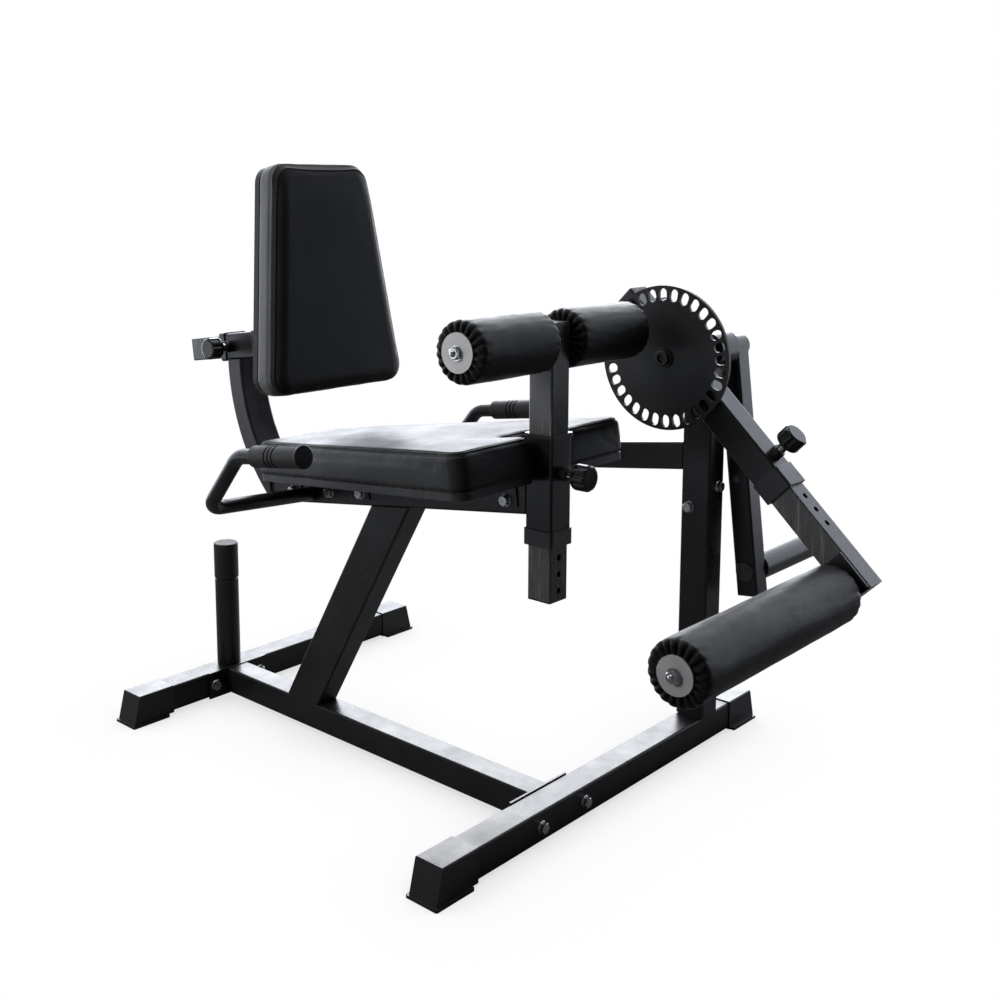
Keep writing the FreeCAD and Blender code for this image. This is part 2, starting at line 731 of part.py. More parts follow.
def pin_holes(first, count, direction, face):
    """Row of index holes: first is on the face, direction steps along it."""
    return [rod(PIN_BORE, first + direction * (PIN_PITCH * index), face, TUBE)
            for index in range(count)]


def thigh_tube():
    length = THIGH_TUBE_TOP - THIGH_TUBE_BOTTOM
    shape = tube(SLIDE_TUBE, SLIDE_TUBE, length, SLIDE_WALL, SLIDE_CORNER)
    shape = shape.translated(V(0, THIGH_Y, THIGH_TUBE_BOTTOM))
    lowest = V(0, THIGH_Y, THIGH_PIN_Z - THIGH_HOLES_BELOW * PIN_PITCH)
    holes = pin_holes(lowest, THIGH_HOLES_BELOW + THIGH_HOLES_ABOVE + 1, Z_DIR, Y_DIR * -1)
    bar = rod(BAR_RADIUS, V(-TUBE, THIGH_Y, THIGH_ROLLER_Z), X_DIR, 2 * TUBE)
    return shape.cut(holes + [bar])


def thigh_tube_plugs():
    cap = plug(SLIDE_TUBE, SLIDE_CORNER, SLIDE_WALL)
    top = cap.translated(V(0, THIGH_Y, THIGH_TUBE_TOP))
    bottom = cap.rotated(ORIGIN, X_DIR, 180).translated(V(0, THIGH_Y, THIGH_TUBE_BOTTOM))
    return [top, bottom]


def foam_roller(start_x, end_x, y, z):
    start = V(start_x, y, z)
    body = rod(ROLLER_RADIUS, start, X_DIR, end_x - start_x)
    rims = [e for e in body.Edges if isinstance(e.Curve, Part.Circle)]
    body = body.makeFillet(ROLLER_EDGE, rims)
    return body.cut(rod(ROLLER_BORE, start, X_DIR, end_x - start_x))


def thigh_roller_bar():
    reach = THIGH_ROLLER_OUT + ROLLER_PLAY
    return rod(BAR_RADIUS, V(-reach, THIGH_Y, THIGH_ROLLER_Z), X_DIR, 2 * reach)


def thigh_end_discs():
    near = V(-THIGH_ROLLER_OUT - ROLLER_PLAY, THIGH_Y, THIGH_ROLLER_Z)
    disc = rod(THIGH_DISC_RADIUS, near, X_DIR * -1, END_DISC_THICK)
    return [disc, mirror_x(disc)]


def thigh_end_bolts():
    disc_face = -THIGH_ROLLER_OUT - ROLLER_PLAY - END_DISC_THICK
    bolt = end_bolt(V(disc_face, THIGH_Y, THIGH_ROLLER_Z), X_DIR * -1)
    return [bolt, mirror_x(bolt)]


# ------------------------------------------------- upright, rotor, weight arm

def upright():
    post = tube(TUBE, UPRIGHT_DEPTH, UPRIGHT_TOP - BAR_TOP, TUBE_WALL, TUBE_CORNER)
    post = post.translated(V(UPRIGHT_LEFT + TUBE / 2, 0, BAR_TOP))
    saddle = rod(HOUSING_RADIUS, V(0, PIVOT_Y, PIVOT_Z), X_DIR, 2 * CUT_REACH)
    return post.cut([saddle] + [bolt_hole(*place) for place in upright_bolt_places()])


def pivot_housing():
    length = HOUSING_RIGHT - HOUSING_LEFT
    start = V(HOUSING_LEFT, PIVOT_Y, PIVOT_Z)
    return rod(HOUSING_RADIUS, start, X_DIR, length).cut(rod(RUNNING_BORE, start, X_DIR, length))


def pivot_shaft():
    start = V(SHAFT_LEFT, PIVOT_Y, PIVOT_Z)
    return rod(SHAFT_RADIUS, start, X_DIR, SHAFT_RIGHT - SHAFT_LEFT)


def shaft_bolt():
    """Socket screw and washer on the disc side end of the shaft."""
    washer = Part.makeCylinder(SHAFT_WASHER_RADIUS, SHAFT_WASHER_THICK)
    head = Part.makeCylinder(SHAFT_HEAD_RADIUS, SHAFT_HEAD_HEIGHT, V(0, 0, SHAFT_WASHER_THICK))
    rim = [e for e in head.Edges if e.BoundBox.ZMin > SHAFT_HEAD_HEIGHT]
    head = head.makeChamfer(SHAFT_HEAD_EDGE, rim)
    floor = V(0, 0, SHAFT_WASHER_THICK + SHAFT_HEAD_EDGE)
    socket = hexagon(SHAFT_SOCKET_FLATS, 2 * SHAFT_HEAD_HEIGHT).translated(floor)
    shape = washer.fuse(head).removeSplitter().cut(socket)
    return aim(shape, V(SHAFT_LEFT, PIVOT_Y, PIVOT_Z), X_DIR * -1)


def slot_cutter():
    """Rounded radial slot, built at the top of the disc."""
    run = SLOT_LENGTH - SLOT_WIDTH
    low = V(DISC_LEFT - 1, 0, SLOT_CENTRE - run / 2)
    high = V(DISC_LEFT - 1, 0, SLOT_CENTRE + run / 2)
    depth = DISC_THICK + 2
    middle = box(DISC_LEFT - 1, DISC_LEFT - 1 + depth, -SLOT_WIDTH / 2, SLOT_WIDTH / 2,
                 low.z, high.z)
    ends = [rod(SLOT_WIDTH / 2, low, X_DIR, depth), rod(SLOT_WIDTH / 2, high, X_DIR, depth)]
    return middle.fuse(ends).removeSplitter()


def index_disc():
    disc = rod(DISC_RADIUS, V(DISC_LEFT, 0, 0), X_DIR, DISC_THICK)
    bore = rod(SHAFT_RADIUS, V(DISC_LEFT, 0, 0), X_DIR, DISC_THICK)
    step = 360.0 / SLOT_COUNT
    slots = []
    for index in range(SLOT_COUNT):
        slots.append(slot_cutter().rotated(ORIGIN, X_DIR, SLOT_PHASE + step * index))
    return disc.cut(slots + [bore]).translated(PIVOT)


def weight_arm():
    """Square arm with its round hub, hanging from the shaft beside the upright."""
    arm = tube(ARM_WIDTH, ARM_WIDTH, ARM_LENGTH, TUBE_WALL, TUBE_CORNER)
    arm = arm.translated(V(ARM_CENTRE, 0, -ARM_LENGTH))
    hub_start = V(ARM_CENTRE - ARM_HUB_HALF, 0, 0)
    hub = rod(ARM_HUB_RADIUS, hub_start, X_DIR, 2 * ARM_HUB_HALF)
    horn_start = V(ARM_CENTRE - ARM_WIDTH, 0, -HORN_DISTANCE)
    horn = rod(HORN_SPIGOT_RADIUS, horn_start, X_DIR, 2 * ARM_WIDTH)
    bore = rod(SHAFT_RADIUS, hub_start, X_DIR, 2 * ARM_HUB_HALF)
    return on_arm(arm.fuse(hub).removeSplitter().cut([bore, horn]))


def weight_horn():
    """Plate horn: a round bar with a spigot that passes through the arm."""
    face = ARM_CENTRE + ARM_WIDTH / 2
    horn = rod(HORN_RADIUS, V(face, 0, -HORN_DISTANCE), X_DIR, HORN_LENGTH)
    spigot_length = ARM_WIDTH + HORN_SPIGOT_PROUD
    spigot_start = V(face - spigot_length, 0, -HORN_DISTANCE)
    spigot = rod(HORN_SPIGOT_RADIUS, spigot_start, X_DIR, spigot_length)
    return on_arm(horn.fuse(spigot).removeSplitter())


def weight_arm_caps():
    """Plastic caps: one on the horn's end, one in the arm's lower end."""
    tip = V(ARM_CENTRE + ARM_WIDTH / 2 + HORN_LENGTH, 0, -HORN_DISTANCE)
    horn_cap = rod(HORN_CAP_RADIUS, tip, X_DIR, HORN_CAP_THICK)
    rim = [e for e in horn_cap.Edges if e.BoundBox.XMin > tip.x + HORN_CAP_THICK - 0.1]
    horn_cap = horn_cap.makeFillet(HORN_CAP_EDGE, rim)
    end = plug(ARM_WIDTH, TUBE_CORNER, TUBE_WALL).rotated(ORIGIN, X_DIR, 180)
    return [on_arm(horn_cap), on_arm(end.translated(V(ARM_CENTRE, 0, -ARM_LENGTH)))]


# ------------------------------------------------------------------- lever

def length_pin_place(shape):
    return on_lever(shape.translated(V(LEVER_CENTRE, -LEVER_PIN, TUBE / 2)))


def index_pin_centre():
    angle = math.radians(INDEX_PIN_ANGLE)
    return V(LEVER_CENTRE + TUBE / 2, SLOT_CENTRE * math.cos(angle), -SLOT_CENTRE * math.sin(angle))


def index_pin_place(shape):
    return on_lever(aim(shape, index_pin_centre(), X_DIR))


def lever_tube(bosses):
    """Outer lever tube with its pivot hub and the two welded pin guides."""
    body = tube(TUBE, TUBE, LEVER_BACK + LEVER_FRONT, TUBE_WALL, TUBE_CORNER)
    body = lay_along_y(body, V(LEVER_CENTRE, -LEVER_FRONT, 0))
    hub_start = V(LEVER_HUB_LEFT, 0, 0)
    hub_length = LEVER_HUB_RIGHT - LEVER_HUB_LEFT
    hub = rod(LEVER_HUB_RADIUS, hub_start, X_DIR, hub_length)
    bore = rod(RUNNING_BORE, hub_start, X_DIR, hub_length)
    length_hole = rod(PIN_BORE, V(LEVER_CENTRE, -LEVER_PIN, 0), Z_DIR, TUBE)
    index_hole = rod(PIN_BORE, index_pin_centre() + X_DIR, X_DIR * -1, 2 * TUBE)
    body = body.fuse(hub).cut([bore, length_hole, index_hole])
    return on_lever(body).fuse(bosses).removeSplitter()


def lever_collar():
    outer = TUBE + 2 * COLLAR_PROUD
    height = LEVER_BUSH_END - LEVER_FRONT + LEVER_COLLAR_GRIP
    shape = collar(outer, TUBE, COLLAR_CORNER, height, LEVER_BUSH_END - LEVER_FRONT)
    shape = shape.rotated(ORIGIN, X_DIR, 90)
    return on_lever(shape.translated(V(LEVER_CENTRE, -LEVER_BUSH_END + height, 0)))


def lever_end_plug():
    cap = lay_along_y(plug(TUBE, TUBE_CORNER, TUBE_WALL), V(LEVER_CENTRE, LEVER_BACK, 0))
    return on_lever(cap)


def lever_slide_tube():
    length = LEVER_SLIDE_END - LEVER_SLIDE_START
    shape = tube(SLIDE_TUBE, SLIDE_TUBE, length, SLIDE_WALL, SLIDE_CORNER)
    shape = lay_along_y(shape, V(LEVER_CENTRE, -LEVER_SLIDE_END, 0))
    first = V(LEVER_CENTRE, -LEVER_PIN + LEVER_HOLES_IN * PIN_PITCH, 0)
    count = LEVER_HOLES_IN + LEVER_HOLES_OUT + 1
    return on_lever(shape.cut(pin_holes(first, count, Y_DIR * -1, Z_DIR)))


def lever_slide_plug():
    cap = plug(SLIDE_TUBE, SLIDE_CORNER, SLIDE_WALL).rotated(ORIGIN, X_DIR, 90)
    return on_lever(cap.translated(V(LEVER_CENTRE, -LEVER_SLIDE_END, 0)))


def ankle_bar():
    """Roller bar welded to the plate on the inner side of the lever's slide tube."""
    right = LEVER_CENTRE - SLIDE_TUBE / 2
    plate = box(right - MOUNT_PLATE_THICK, right, -ANKLE_ALONG - MOUNT_PLATE_OUT,
                -ANKLE_ALONG + MOUNT_PLATE_IN, -ANKLE_BELOW - MOUNT_PLATE_OUT,
                SLIDE_TUBE / 2 - 1)
    left = ANKLE_ROLLER_NEAR - ROLLER_PLAY
    start = V(left, -ANKLE_ALONG, -ANKLE_BELOW)
    bar = rod(BAR_RADIUS, start, X_DIR, right - MOUNT_PLATE_THICK - left)
    return on_lever(plate.fuse(bar).removeSplitter())


def ankle_centre():
    return on_lever(Part.Vertex(V(0, -ANKLE_ALONG, -ANKLE_BELOW))).Point


def ankle_end_disc():
    centre = ankle_centre() + V(ANKLE_ROLLER_NEAR - ROLLER_PLAY, 0, 0)
    return rod(ANKLE_DISC_RADIUS, centre, X_DIR * -1, END_DISC_THICK)


def ankle_end_bolt():
    disc_face = ANKLE_ROLLER_NEAR - ROLLER_PLAY - END_DISC_THICK
    return end_bolt(ankle_centre() + V(disc_face, 0, 0), X_DIR * -1)


def ankle_roller():
    centre = ankle_centre()
    return foam_roller(ANKLE_ROLLER_NEAR, ANKLE_ROLLER_FAR, centre.y, centre.z)


# ---------------------------------------------------------------- backrest

def back_pin_place(shape):
    return on_slide(aim(shape, V(-TUBE / 2, BACK_PIN_ALONG, 0), X_DIR * -1))


def backrest_sleeve(boss):
    sleeve = tube(TUBE, TUBE, 2 * BACK_SLEEVE_HALF, TUBE_WALL, TUBE_CORNER)
    sleeve = lay_along_y(sleeve, V(0, -BACK_SLEEVE_HALF, 0))
    hole = rod(PIN_BORE, V(0, BACK_PIN_ALONG, 0), X_DIR * -1, TUBE)
    return on_slide(sleeve.cut(hole)).fuse(boss).removeSplitter()


def backrest_collars():
    outer = TUBE + 2 * COLLAR_PROUD
    shape = collar(outer, TUBE, COLLAR_CORNER, SLIDE_COLLAR_HEIGHT, COLLAR_LIP)
    inner_end = BACK_SLEEVE_HALF - SLIDE_COLLAR_HEIGHT + COLLAR_LIP
    front = shape.rotated(ORIGIN, X_DIR, 90).translated(V(0, -inner_end, 0))
    rear = shape.rotated(ORIGIN, X_DIR, -90).translated(V(0, inner_end, 0))
    return [on_slide(front), on_slide(rear)]


def curve_sector(radius_in, radius_out, half_width):
    """Part of a ring in the YZ plane, given thickness along X."""
    def point(radius, degrees):
        angle = math.radians(degrees)
        return V(-half_width, CURVE_CENTRE_Y + radius * math.cos(angle),
                 CURVE_CENTRE_Z - radius * math.sin(angle))

    middle = (CURVE_START + CURVE_END) / 2
    outer = Part.Arc(point(radius_out, CURVE_START), point(radius_out, middle),
                     point(radius_out, CURVE_END)).toShape()
    inner = Part.Arc(point(radius_in, CURVE_END), point(radius_in, middle),
                     point(radius_in, CURVE_START)).toShape()
    low = Part.makeLine(point(radius_out, CURVE_END), point(radius_in, CURVE_END))
    high = Part.makeLine(point(radius_in, CURVE_START), point(radius_out, CURVE_START))
    face = Part.Face(Part.Wire([outer, low, inner, high]))
    return face.extrude(V(2 * half_width, 0, 0))


def backrest_post():
    """Curved rectangular tube from the rail's rear end up to the backrest sleeve."""
    half_depth = CURVE_DEPTH / 2
    half_width = CURVE_WIDTH / 2
    solid = curve_sector(CURVE_RADIUS - half_depth, CURVE_RADIUS + half_depth, half_width)
    arcs = [e for e in solid.Edges if isinstance(e.Curve, Part.Circle)]
    solid = solid.makeFillet(TUBE_CORNER, arcs)
    core = curve_sector(CURVE_RADIUS - half_depth + CURVE_WALL,
                        CURVE_RADIUS + half_depth - CURVE_WALL, half_width - CURVE_WALL)
    above = on_slide(box(-CUT_REACH, CUT_REACH, -CUT_REACH, CUT_REACH, -TUBE / 2, CUT_REACH))
    ahead = on_rail(box(-CUT_REACH, CUT_REACH, -CUT_REACH, RAIL_REAR, -CUT_REACH, CUT_REACH))
    return solid.cut(core).cut([above, ahead])


def back_outline():
    """Cushion outline drawn flat: X across, Y up the cushion."""
    return [
        V(-BACK_BOTTOM_HALF, 0, 0),
        V(BACK_BOTTOM_HALF, 0, 0),
        V(BACK_TOP_HALF, BACK_HEIGHT, 0),
        V(-BACK_TOP_HALF, BACK_HEIGHT, 0),
    ]


def stand_slab(slab, depth):
    """Stands a flat slab upright: its drawn top face becomes the cushion's front face."""
    return on_back(slab.rotated(ORIGIN, X_DIR, 90).translated(V(0, depth, 0)))


def backrest_pad():
    slab = rounded_slab(back_outline(), BACK_PAD_THICK - SOFT_GAP, [BACK_CORNER] * 4)
    slab = soften(slab, BACK_PAD_THICK - SOFT_GAP, BACK_EDGE)
    return stand_slab(slab, BACK_PAD_THICK - SOFT_GAP)


def backrest_board():
    slab = rounded_slab(back_outline(), BACK_BOARD_THICK, [BACK_CORNER] * 4)
    return stand_slab(slab, BACK_PAD_THICK + BACK_BOARD_THICK)


def back_plate_front():
    return BACK_PAD_THICK + BACK_BOARD_THICK


def backrest_plate():
    front = back_plate_front()
    plate = box(-BACK_PLATE_HALF, BACK_PLATE_HALF, front, front + BACK_PLATE_THICK,
                BACK_PLATE_BOTTOM, BACK_PLATE_TOP)
    rims = [e for e in plate.Edges if is_parallel(e, Y_DIR)]
    return on_back(plate.makeFillet(BACK_PLATE_CORNER, rims))


def backrest_slide():
    length = SLIDE_REAR - SLIDE_FRONT
    shape = tube(SLIDE_TUBE, SLIDE_TUBE, length, SLIDE_WALL, SLIDE_CORNER)
    shape = lay_along_y(shape, V(0, SLIDE_FRONT, 0))
    first = V(0, BACK_PIN_ALONG - BACK_HOLES_AHEAD * PIN_PITCH, 0)
    shape = on_slide(shape.cut(pin_holes(first, 2 * BACK_HOLES_AHEAD, Y_DIR, X_DIR * -1)))
    face = back_plate_front() + BACK_PLATE_THICK
    ahead = on_back(box(-CUT_REACH, CUT_REACH, -CUT_REACH, face, -CUT_REACH, CUT_REACH))
    return shape.cut(ahead)


def backrest_slide_plug():
    cap = lay_along_y(plug(SLIDE_TUBE, SLIDE_CORNER, SLIDE_WALL), V(0, SLIDE_REAR, 0))
    return on_slide(cap)


# ------------------------------------------------------------ side handles

def handle_points():
    return [HANDLE_ROOT, HANDLE_CORNER, HANDLE_SHOULDER, HANDLE_TIP]


def handle_tube():
    points = handle_points()
    lead = (points[0] - points[1]).normalize()
    longer = [points[0] + lead * SPARE] + points[1:]
    shape = bent_tube(longer, HANDLE_BEND, HANDLE_RADIUS, HANDLE_WALL)
    rail_zone = box(-CUT_REACH, TUBE / 2, 0, 2 * CUT_REACH, 0, 3 * CUT_REACH)
    return shape.cut(rail_zone)


def grip_direction():
    return (HANDLE_TIP - HANDLE_SHOULDER).normalize()


def handle_grip():
    """Rubber grip with three finger grooves, closed off by the end cap."""
    along = grip_direction()
    start = HANDLE_TIP - along * GRIP_LENGTH
    grip = rod(GRIP_RADIUS, start, along, GRIP_LENGTH)
    rims = [e for e in grip.Edges if isinstance(e.Curve, Part.Circle)]
    grip = grip.makeFillet(GRIP_EDGE, rims)
    bore = rod(HANDLE_RADIUS, start, along, GRIP_LENGTH)
    for place in GRIP_GROOVES:
        ring = rod(GRIP_RADIUS + SPARE, start + along * place, along, GROOVE_WIDTH)
        floor = rod(GRIP_RADIUS - GROOVE_DEPTH, start + along * place, along, GROOVE_WIDTH)
        grip = grip.cut(ring.cut(floor))
    return grip.cut(bore)


def grip_cap():
    along = grip_direction()
    cap = rod(GRIP_CAP_RADIUS, HANDLE_TIP, along, GRIP_CAP_THICK)
    rims = [e for e in cap.Edges if isinstance(e.Curve, Part.Circle)]
    return cap.makeFillet(GRIP_CAP_EDGE, rims)


# ---------------------------------------------------------------- assembly

def pair(shape):
    return [shape, mirror_x(shape)]


def build_floor_frame():
    bolts = base_bolt_places() + rail_bolt_places() + upright_bolt_places()
    return {
        "front_crossbar": [crossbar(FRONT_BAR_LEFT, FRONT_BAR_RIGHT, 0, base_bolt_places())],
        "rear_crossbar": [crossbar(REAR_BAR_LEFT, REAR_BAR_RIGHT, REAR_BAR_Y, base_bolt_places())],
        "main_beam": [main_beam()],
        "beam_end_plates": beam_end_plates(),
        "foot_caps": foot_caps(),
        "frame_bolts": [flange_bolt(start, direction) for start, direction, _ in bolts],
        "frame_nuts": [flange_nut(*place) for place in bolts],
        "storage_post": [storage_post()],
        "storage_sleeve": [storage_sleeve()],
        "upright": [upright()],
        "pivot_housing": [pivot_housing()],
    }


def build_seat():
    return {
        "seat_post": [seat_post()],
        "seat_rail": [seat_rail()],
        "side_bar": [side_bar()],
        "cross_tube": [cross_tube()],
        "seat_brackets": seat_brackets(),
        "seat_board": [seat_board()],
        "seat_pad": [seat_pad()],
        "handle_tubes": pair(handle_tube()),
        "handle_grips": pair(handle_grip()),
        "grip_caps": pair(grip_cap()),
    }


def build_thigh_post():
    boss, pin, knob = pull_pin(thigh_pin_place, TUBE_WALL + 1 - PIN_TIP_GAP)
    outer = THIGH_ROLLER_OUT
    inner = THIGH_ROLLER_IN
    return {
        "thigh_sleeve": [thigh_sleeve(boss)],
        "sleeve_collars": thigh_collars() + backrest_collars(),
        "thigh_tube": [thigh_tube()],
        "thigh_tube_plugs": thigh_tube_plugs(),
        "thigh_roller_bar": [thigh_roller_bar()],
        "thigh_end_discs": thigh_end_discs(),
        "thigh_end_bolts": thigh_end_bolts(),
        "thigh_roller_right": [foam_roller(-outer, -inner, THIGH_Y, THIGH_ROLLER_Z)],
        "thigh_roller_left": [foam_roller(inner, outer, THIGH_Y, THIGH_ROLLER_Z)],
        "thigh_pin": [pin],
        "thigh_knob": [knob],
    }


def build_rotor():
    return {
        "index_disc": [index_disc()],
        "pivot_shaft": [pivot_shaft()],
        "shaft_bolt": [shaft_bolt()],
        "weight_arm": [weight_arm()],
        "weight_horn": [weight_horn()],
        "weight_arm_caps": weight_arm_caps(),
    }


def build_lever():
    length_boss, length_pin, length_knob = pull_pin(length_pin_place, TUBE_WALL + 1 - PIN_TIP_GAP)
    index_reach = LEVER_CENTRE + TUBE / 2 - DISC_LEFT - DISC_THICK - PIN_TIP_GAP
    index_boss, index_pin, index_knob = pull_pin(index_pin_place, index_reach)
    return {
        "lever_tube": [lever_tube([length_boss, index_boss])],
        "lever_collar": [lever_collar()],
        "lever_end_plug": [lever_end_plug()],
        "lever_slide_tube": [lever_slide_tube()],
        "lever_slide_plug": [lever_slide_plug()],
        "ankle_bar": [ankle_bar()],
        "ankle_end_disc": [ankle_end_disc()],
        "ankle_end_bolt": [ankle_end_bolt()],
        "ankle_roller": [ankle_roller()],
        "length_pin": [length_pin],
        "length_knob": [length_knob],
        "index_pin": [index_pin],
        "index_knob": [index_knob],
    }


def build_backrest():
    boss, pin, knob = pull_pin(back_pin_place, TUBE_WALL + 1 - PIN_TIP_GAP)
    return {
        "backrest_post": [backrest_post()],
        "backrest_sleeve": [backrest_sleeve(boss)],
        "backrest_slide": [backrest_slide()],
        "backrest_slide_plug": [backrest_slide_plug()],
        "backrest_plate": [backrest_plate()],
        "backrest_board": [backrest_board()],
        "backrest_pad": [backrest_pad()],
        "backrest_pin": [pin],
        "backrest_knob": [knob],
    }


def solids_of(shapes):
    found = []
    for shape in shapes:
        found.extend(shape.Solids)
    return found


def export_all(nodes):
    """Centres the whole machine over the origin, then writes one file per node."""
    everything = Part.makeCompound([solid for solids in nodes.values() for solid in solids])
    bounds = everything.BoundBox
    shift = V(-bounds.Center.x, -bounds.Center.y, -bounds.ZMin)
    print("shift", round(shift.x, 4), round(shift.y, 4), round(shift.z, 4))
    for name, solids in nodes.items():
        moved = [solid.translated(shift) for solid in solids]
        shape = moved[0] if len(moved) == 1 else Part.makeCompound(moved)
        print(name, len(moved), shape.isValid(), round(shape.Volume))
        shape.exportStep("parts/" + name + ".step")


def main():
    os.makedirs("parts", exist_ok=True)
    nodes = {}
    for group in (build_floor_frame, build_seat, build_thigh_post, build_rotor,
                  build_lever, build_backrest):
        for name, shapes in group().items():
            nodes[name] = solids_of(shapes)
    export_all(nodes)
    print("nodes", len(nodes))


main()
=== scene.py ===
import json
import math

import bmesh
import bpy
import numpy as np
from mathutils import Matrix, Vector, noise
from mathutils.bvhtree import BVHTree
from mathutils.kdtree import KDTree


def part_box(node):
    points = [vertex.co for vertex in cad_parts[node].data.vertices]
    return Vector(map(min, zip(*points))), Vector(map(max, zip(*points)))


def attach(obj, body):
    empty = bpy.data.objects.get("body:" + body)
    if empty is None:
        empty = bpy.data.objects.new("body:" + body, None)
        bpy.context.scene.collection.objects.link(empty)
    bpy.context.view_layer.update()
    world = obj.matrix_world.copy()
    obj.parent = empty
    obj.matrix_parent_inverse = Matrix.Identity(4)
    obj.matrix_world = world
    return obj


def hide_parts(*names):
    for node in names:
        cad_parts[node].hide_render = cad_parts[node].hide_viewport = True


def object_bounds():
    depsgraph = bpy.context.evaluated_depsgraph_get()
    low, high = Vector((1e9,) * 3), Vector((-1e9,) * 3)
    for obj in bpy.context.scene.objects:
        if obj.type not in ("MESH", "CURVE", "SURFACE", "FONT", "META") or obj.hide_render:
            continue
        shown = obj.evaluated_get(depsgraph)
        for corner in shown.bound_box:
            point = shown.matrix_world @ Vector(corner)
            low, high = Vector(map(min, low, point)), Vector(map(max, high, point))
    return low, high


# Plate-loaded leg extension machine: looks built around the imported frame.
# Everything is in metres, in the frame's own axes: +Z up, +Y to the rear, +X to the lever side.

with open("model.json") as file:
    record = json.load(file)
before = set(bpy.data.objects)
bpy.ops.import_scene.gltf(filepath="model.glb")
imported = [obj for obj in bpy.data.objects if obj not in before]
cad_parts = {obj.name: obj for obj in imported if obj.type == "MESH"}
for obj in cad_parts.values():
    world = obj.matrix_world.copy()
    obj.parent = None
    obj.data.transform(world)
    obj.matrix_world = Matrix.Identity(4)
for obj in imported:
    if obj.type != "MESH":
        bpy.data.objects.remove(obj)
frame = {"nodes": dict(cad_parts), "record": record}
CAD_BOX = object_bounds()

MM = 0.001
X_DIR = Vector((1, 0, 0))
UP = Vector((0, 0, 1))

# ---- camera, measured from the middle of the object's box ----
CAMERA_OFFSET = Vector((-1.6804, -1.3744, 0.4636))
CAMERA_YAW = 46.29
CAMERA_PITCH = -8.345
CAMERA_ROLL = -0.32
CAMERA_LENS = 44.16
CAMERA_SHIFT = (0.08, -0.12)
SENSOR = 36.0

# ---- both cushions: zones are distances in from the outline, heights start at the underside ----
WELD = 0.01 * MM
FLAT_TOLERANCE = 0.05 * MM
OUTLINE_PITCH = 2.0 * MM
HELD_HEIGHT = 4.0 * MM
BASE_GAP = 0.1 * MM
SIDE_ZONE = (4.0 * MM, 16.0 * MM)
PUCKER_REACH = 9.0 * MM
PUCKER_STRETCH = (1.0, 1.0, 0.3)
BASE_SEAM_HEIGHT = 0.5 * MM
BASE_SEAM_DEPTH = 3.0 * MM
RELAX_FACTOR = 0.5
RELAX_ROUNDS = 3
CLOTH_FRAMES = 20
CLOTH_QUALITY = 5
CLOTH_MASS = 0.3
CLOTH_STRETCH = 25.0
CLOTH_SHEAR = 12.0
CLOTH_BENDING = 1.5
CLOTH_PRESSURE = 4.0

# ---- seat cushion ----
SEAT_VOXEL = 4.5 * MM
SEAT_CAP = 3.0 * MM
SEAT_SWELL = 3.0 * MM
SEAT_BULGE = 2.0 * MM
SEAT_TOP_ZONE = (0.55, 0.95)
SEAT_CROWN = 3.0 * MM
SEAT_CROWN_ZONE = (4.0 * MM, 80.0 * MM)
SEAT_CROWN_LEVEL = 0.6
SEAT_SLACK = 1.2 * MM
SEAT_PUCKER = 0.9 * MM
SEAT_WAVE = 1.2 * MM
SEAT_WAVE_ZONE = (10.0 * MM, 50.0 * MM)
SEAT_SEAM_DEPTH = 2.0 * MM
SEAT_WELT_DROP = 5.0 * MM

# ---- backrest cushion ----
BACK_VOXEL = 4.0 * MM
BACK_CAP = 3.0 * MM
BACK_SWELL = 2.5 * MM
BACK_BULGE = 1.2 * MM
BACK_FRONT_ZONE = (0.6, 0.95)
BACK_BORDER = 26.0 * MM
BACK_BORDER_DROP = 5.0 * MM
BACK_BORDER_CURVE = 1.6
BACK_SEAM_BELOW = 21.0 * MM
BACK_SEAM_DEPTH = 4.2 * MM
BACK_SEAM_WIDTH = 2.8 * MM
BACK_BELLY = -0.8 * MM
BACK_SLACK = 0.8 * MM
BACK_PUCKER = 0.8 * MM
BACK_WAVE = 0.9 * MM
BACK_WAVE_ZONE = (20.0 * MM, 60.0 * MM)
BAND_INSET = 8.0 * MM
BAND_START = 2.0 * MM
BACK_TOP_LEAN = 7.0 * MM
BACK_LEAN_ZONE = 75.0 * MM
BACK_WELT_DROP = 8.0 * MM

# ---- room: headings in degrees clockwise from +Y, levels against white at 1 ----
ROOM_HEADING = 49.0
FLOOR_HALF = 9.0
DARK_FLOOR_REACH = 2.6
BEHIND_LEVEL = 3.6
LEFT_LEVEL = 0.9
LEFT_HIGH_SHARE = 0.08
LEFT_TURN = 100.0
BEHIND_WIDTH = (0.15, 0.85)
LEFT_WIDTH = (0.35, 0.9)
WALL_FADE = (0.20, 0.80)
LEFT_FADE = (-0.12, 0.02)
WALL_TOP_SHARE = 0.2
ROOM_LEVEL = 0.05
COOL_WHITE = (0.92, 0.97, 1.08)
SHADE_REACH = 0.22
SHADE_LEVEL = 0.72
FADE_START = 1.6
FADE_END = 6.5
DARK_FLOOR_FADE = 0.8

# ---- lights, placed from the middle of the object's box; power in watts, spread in degrees ----
OVERHEAD = {"spot": (0.2, 0.5, 2.4), "aim": (0, 0, 0), "width": 3.2, "height": 3.2, "power": 26.0}
BACK_LIGHT = {"spot": (2.3, 2.0, 1.3), "aim": (0, 0, 0), "width": 3.4, "height": 1.4, "power": 60.0}
LEFT_FILL = {"spot": (-2.3, 0.8, 1.2), "aim": (-0.1, 0.2, 0.4), "width": 1.2, "height": 1.2, "power": 16.0}
LEFT_FILL_SPREAD = 60.0

# ---- painted surfaces ----
EDGE_ROUNDING = 0.9 * MM
PAINT_EDGE = 1.3 * MM
MOULDED_ROUNDING = 0.6 * MM
MOULDED_EDGE = 1.0 * MM

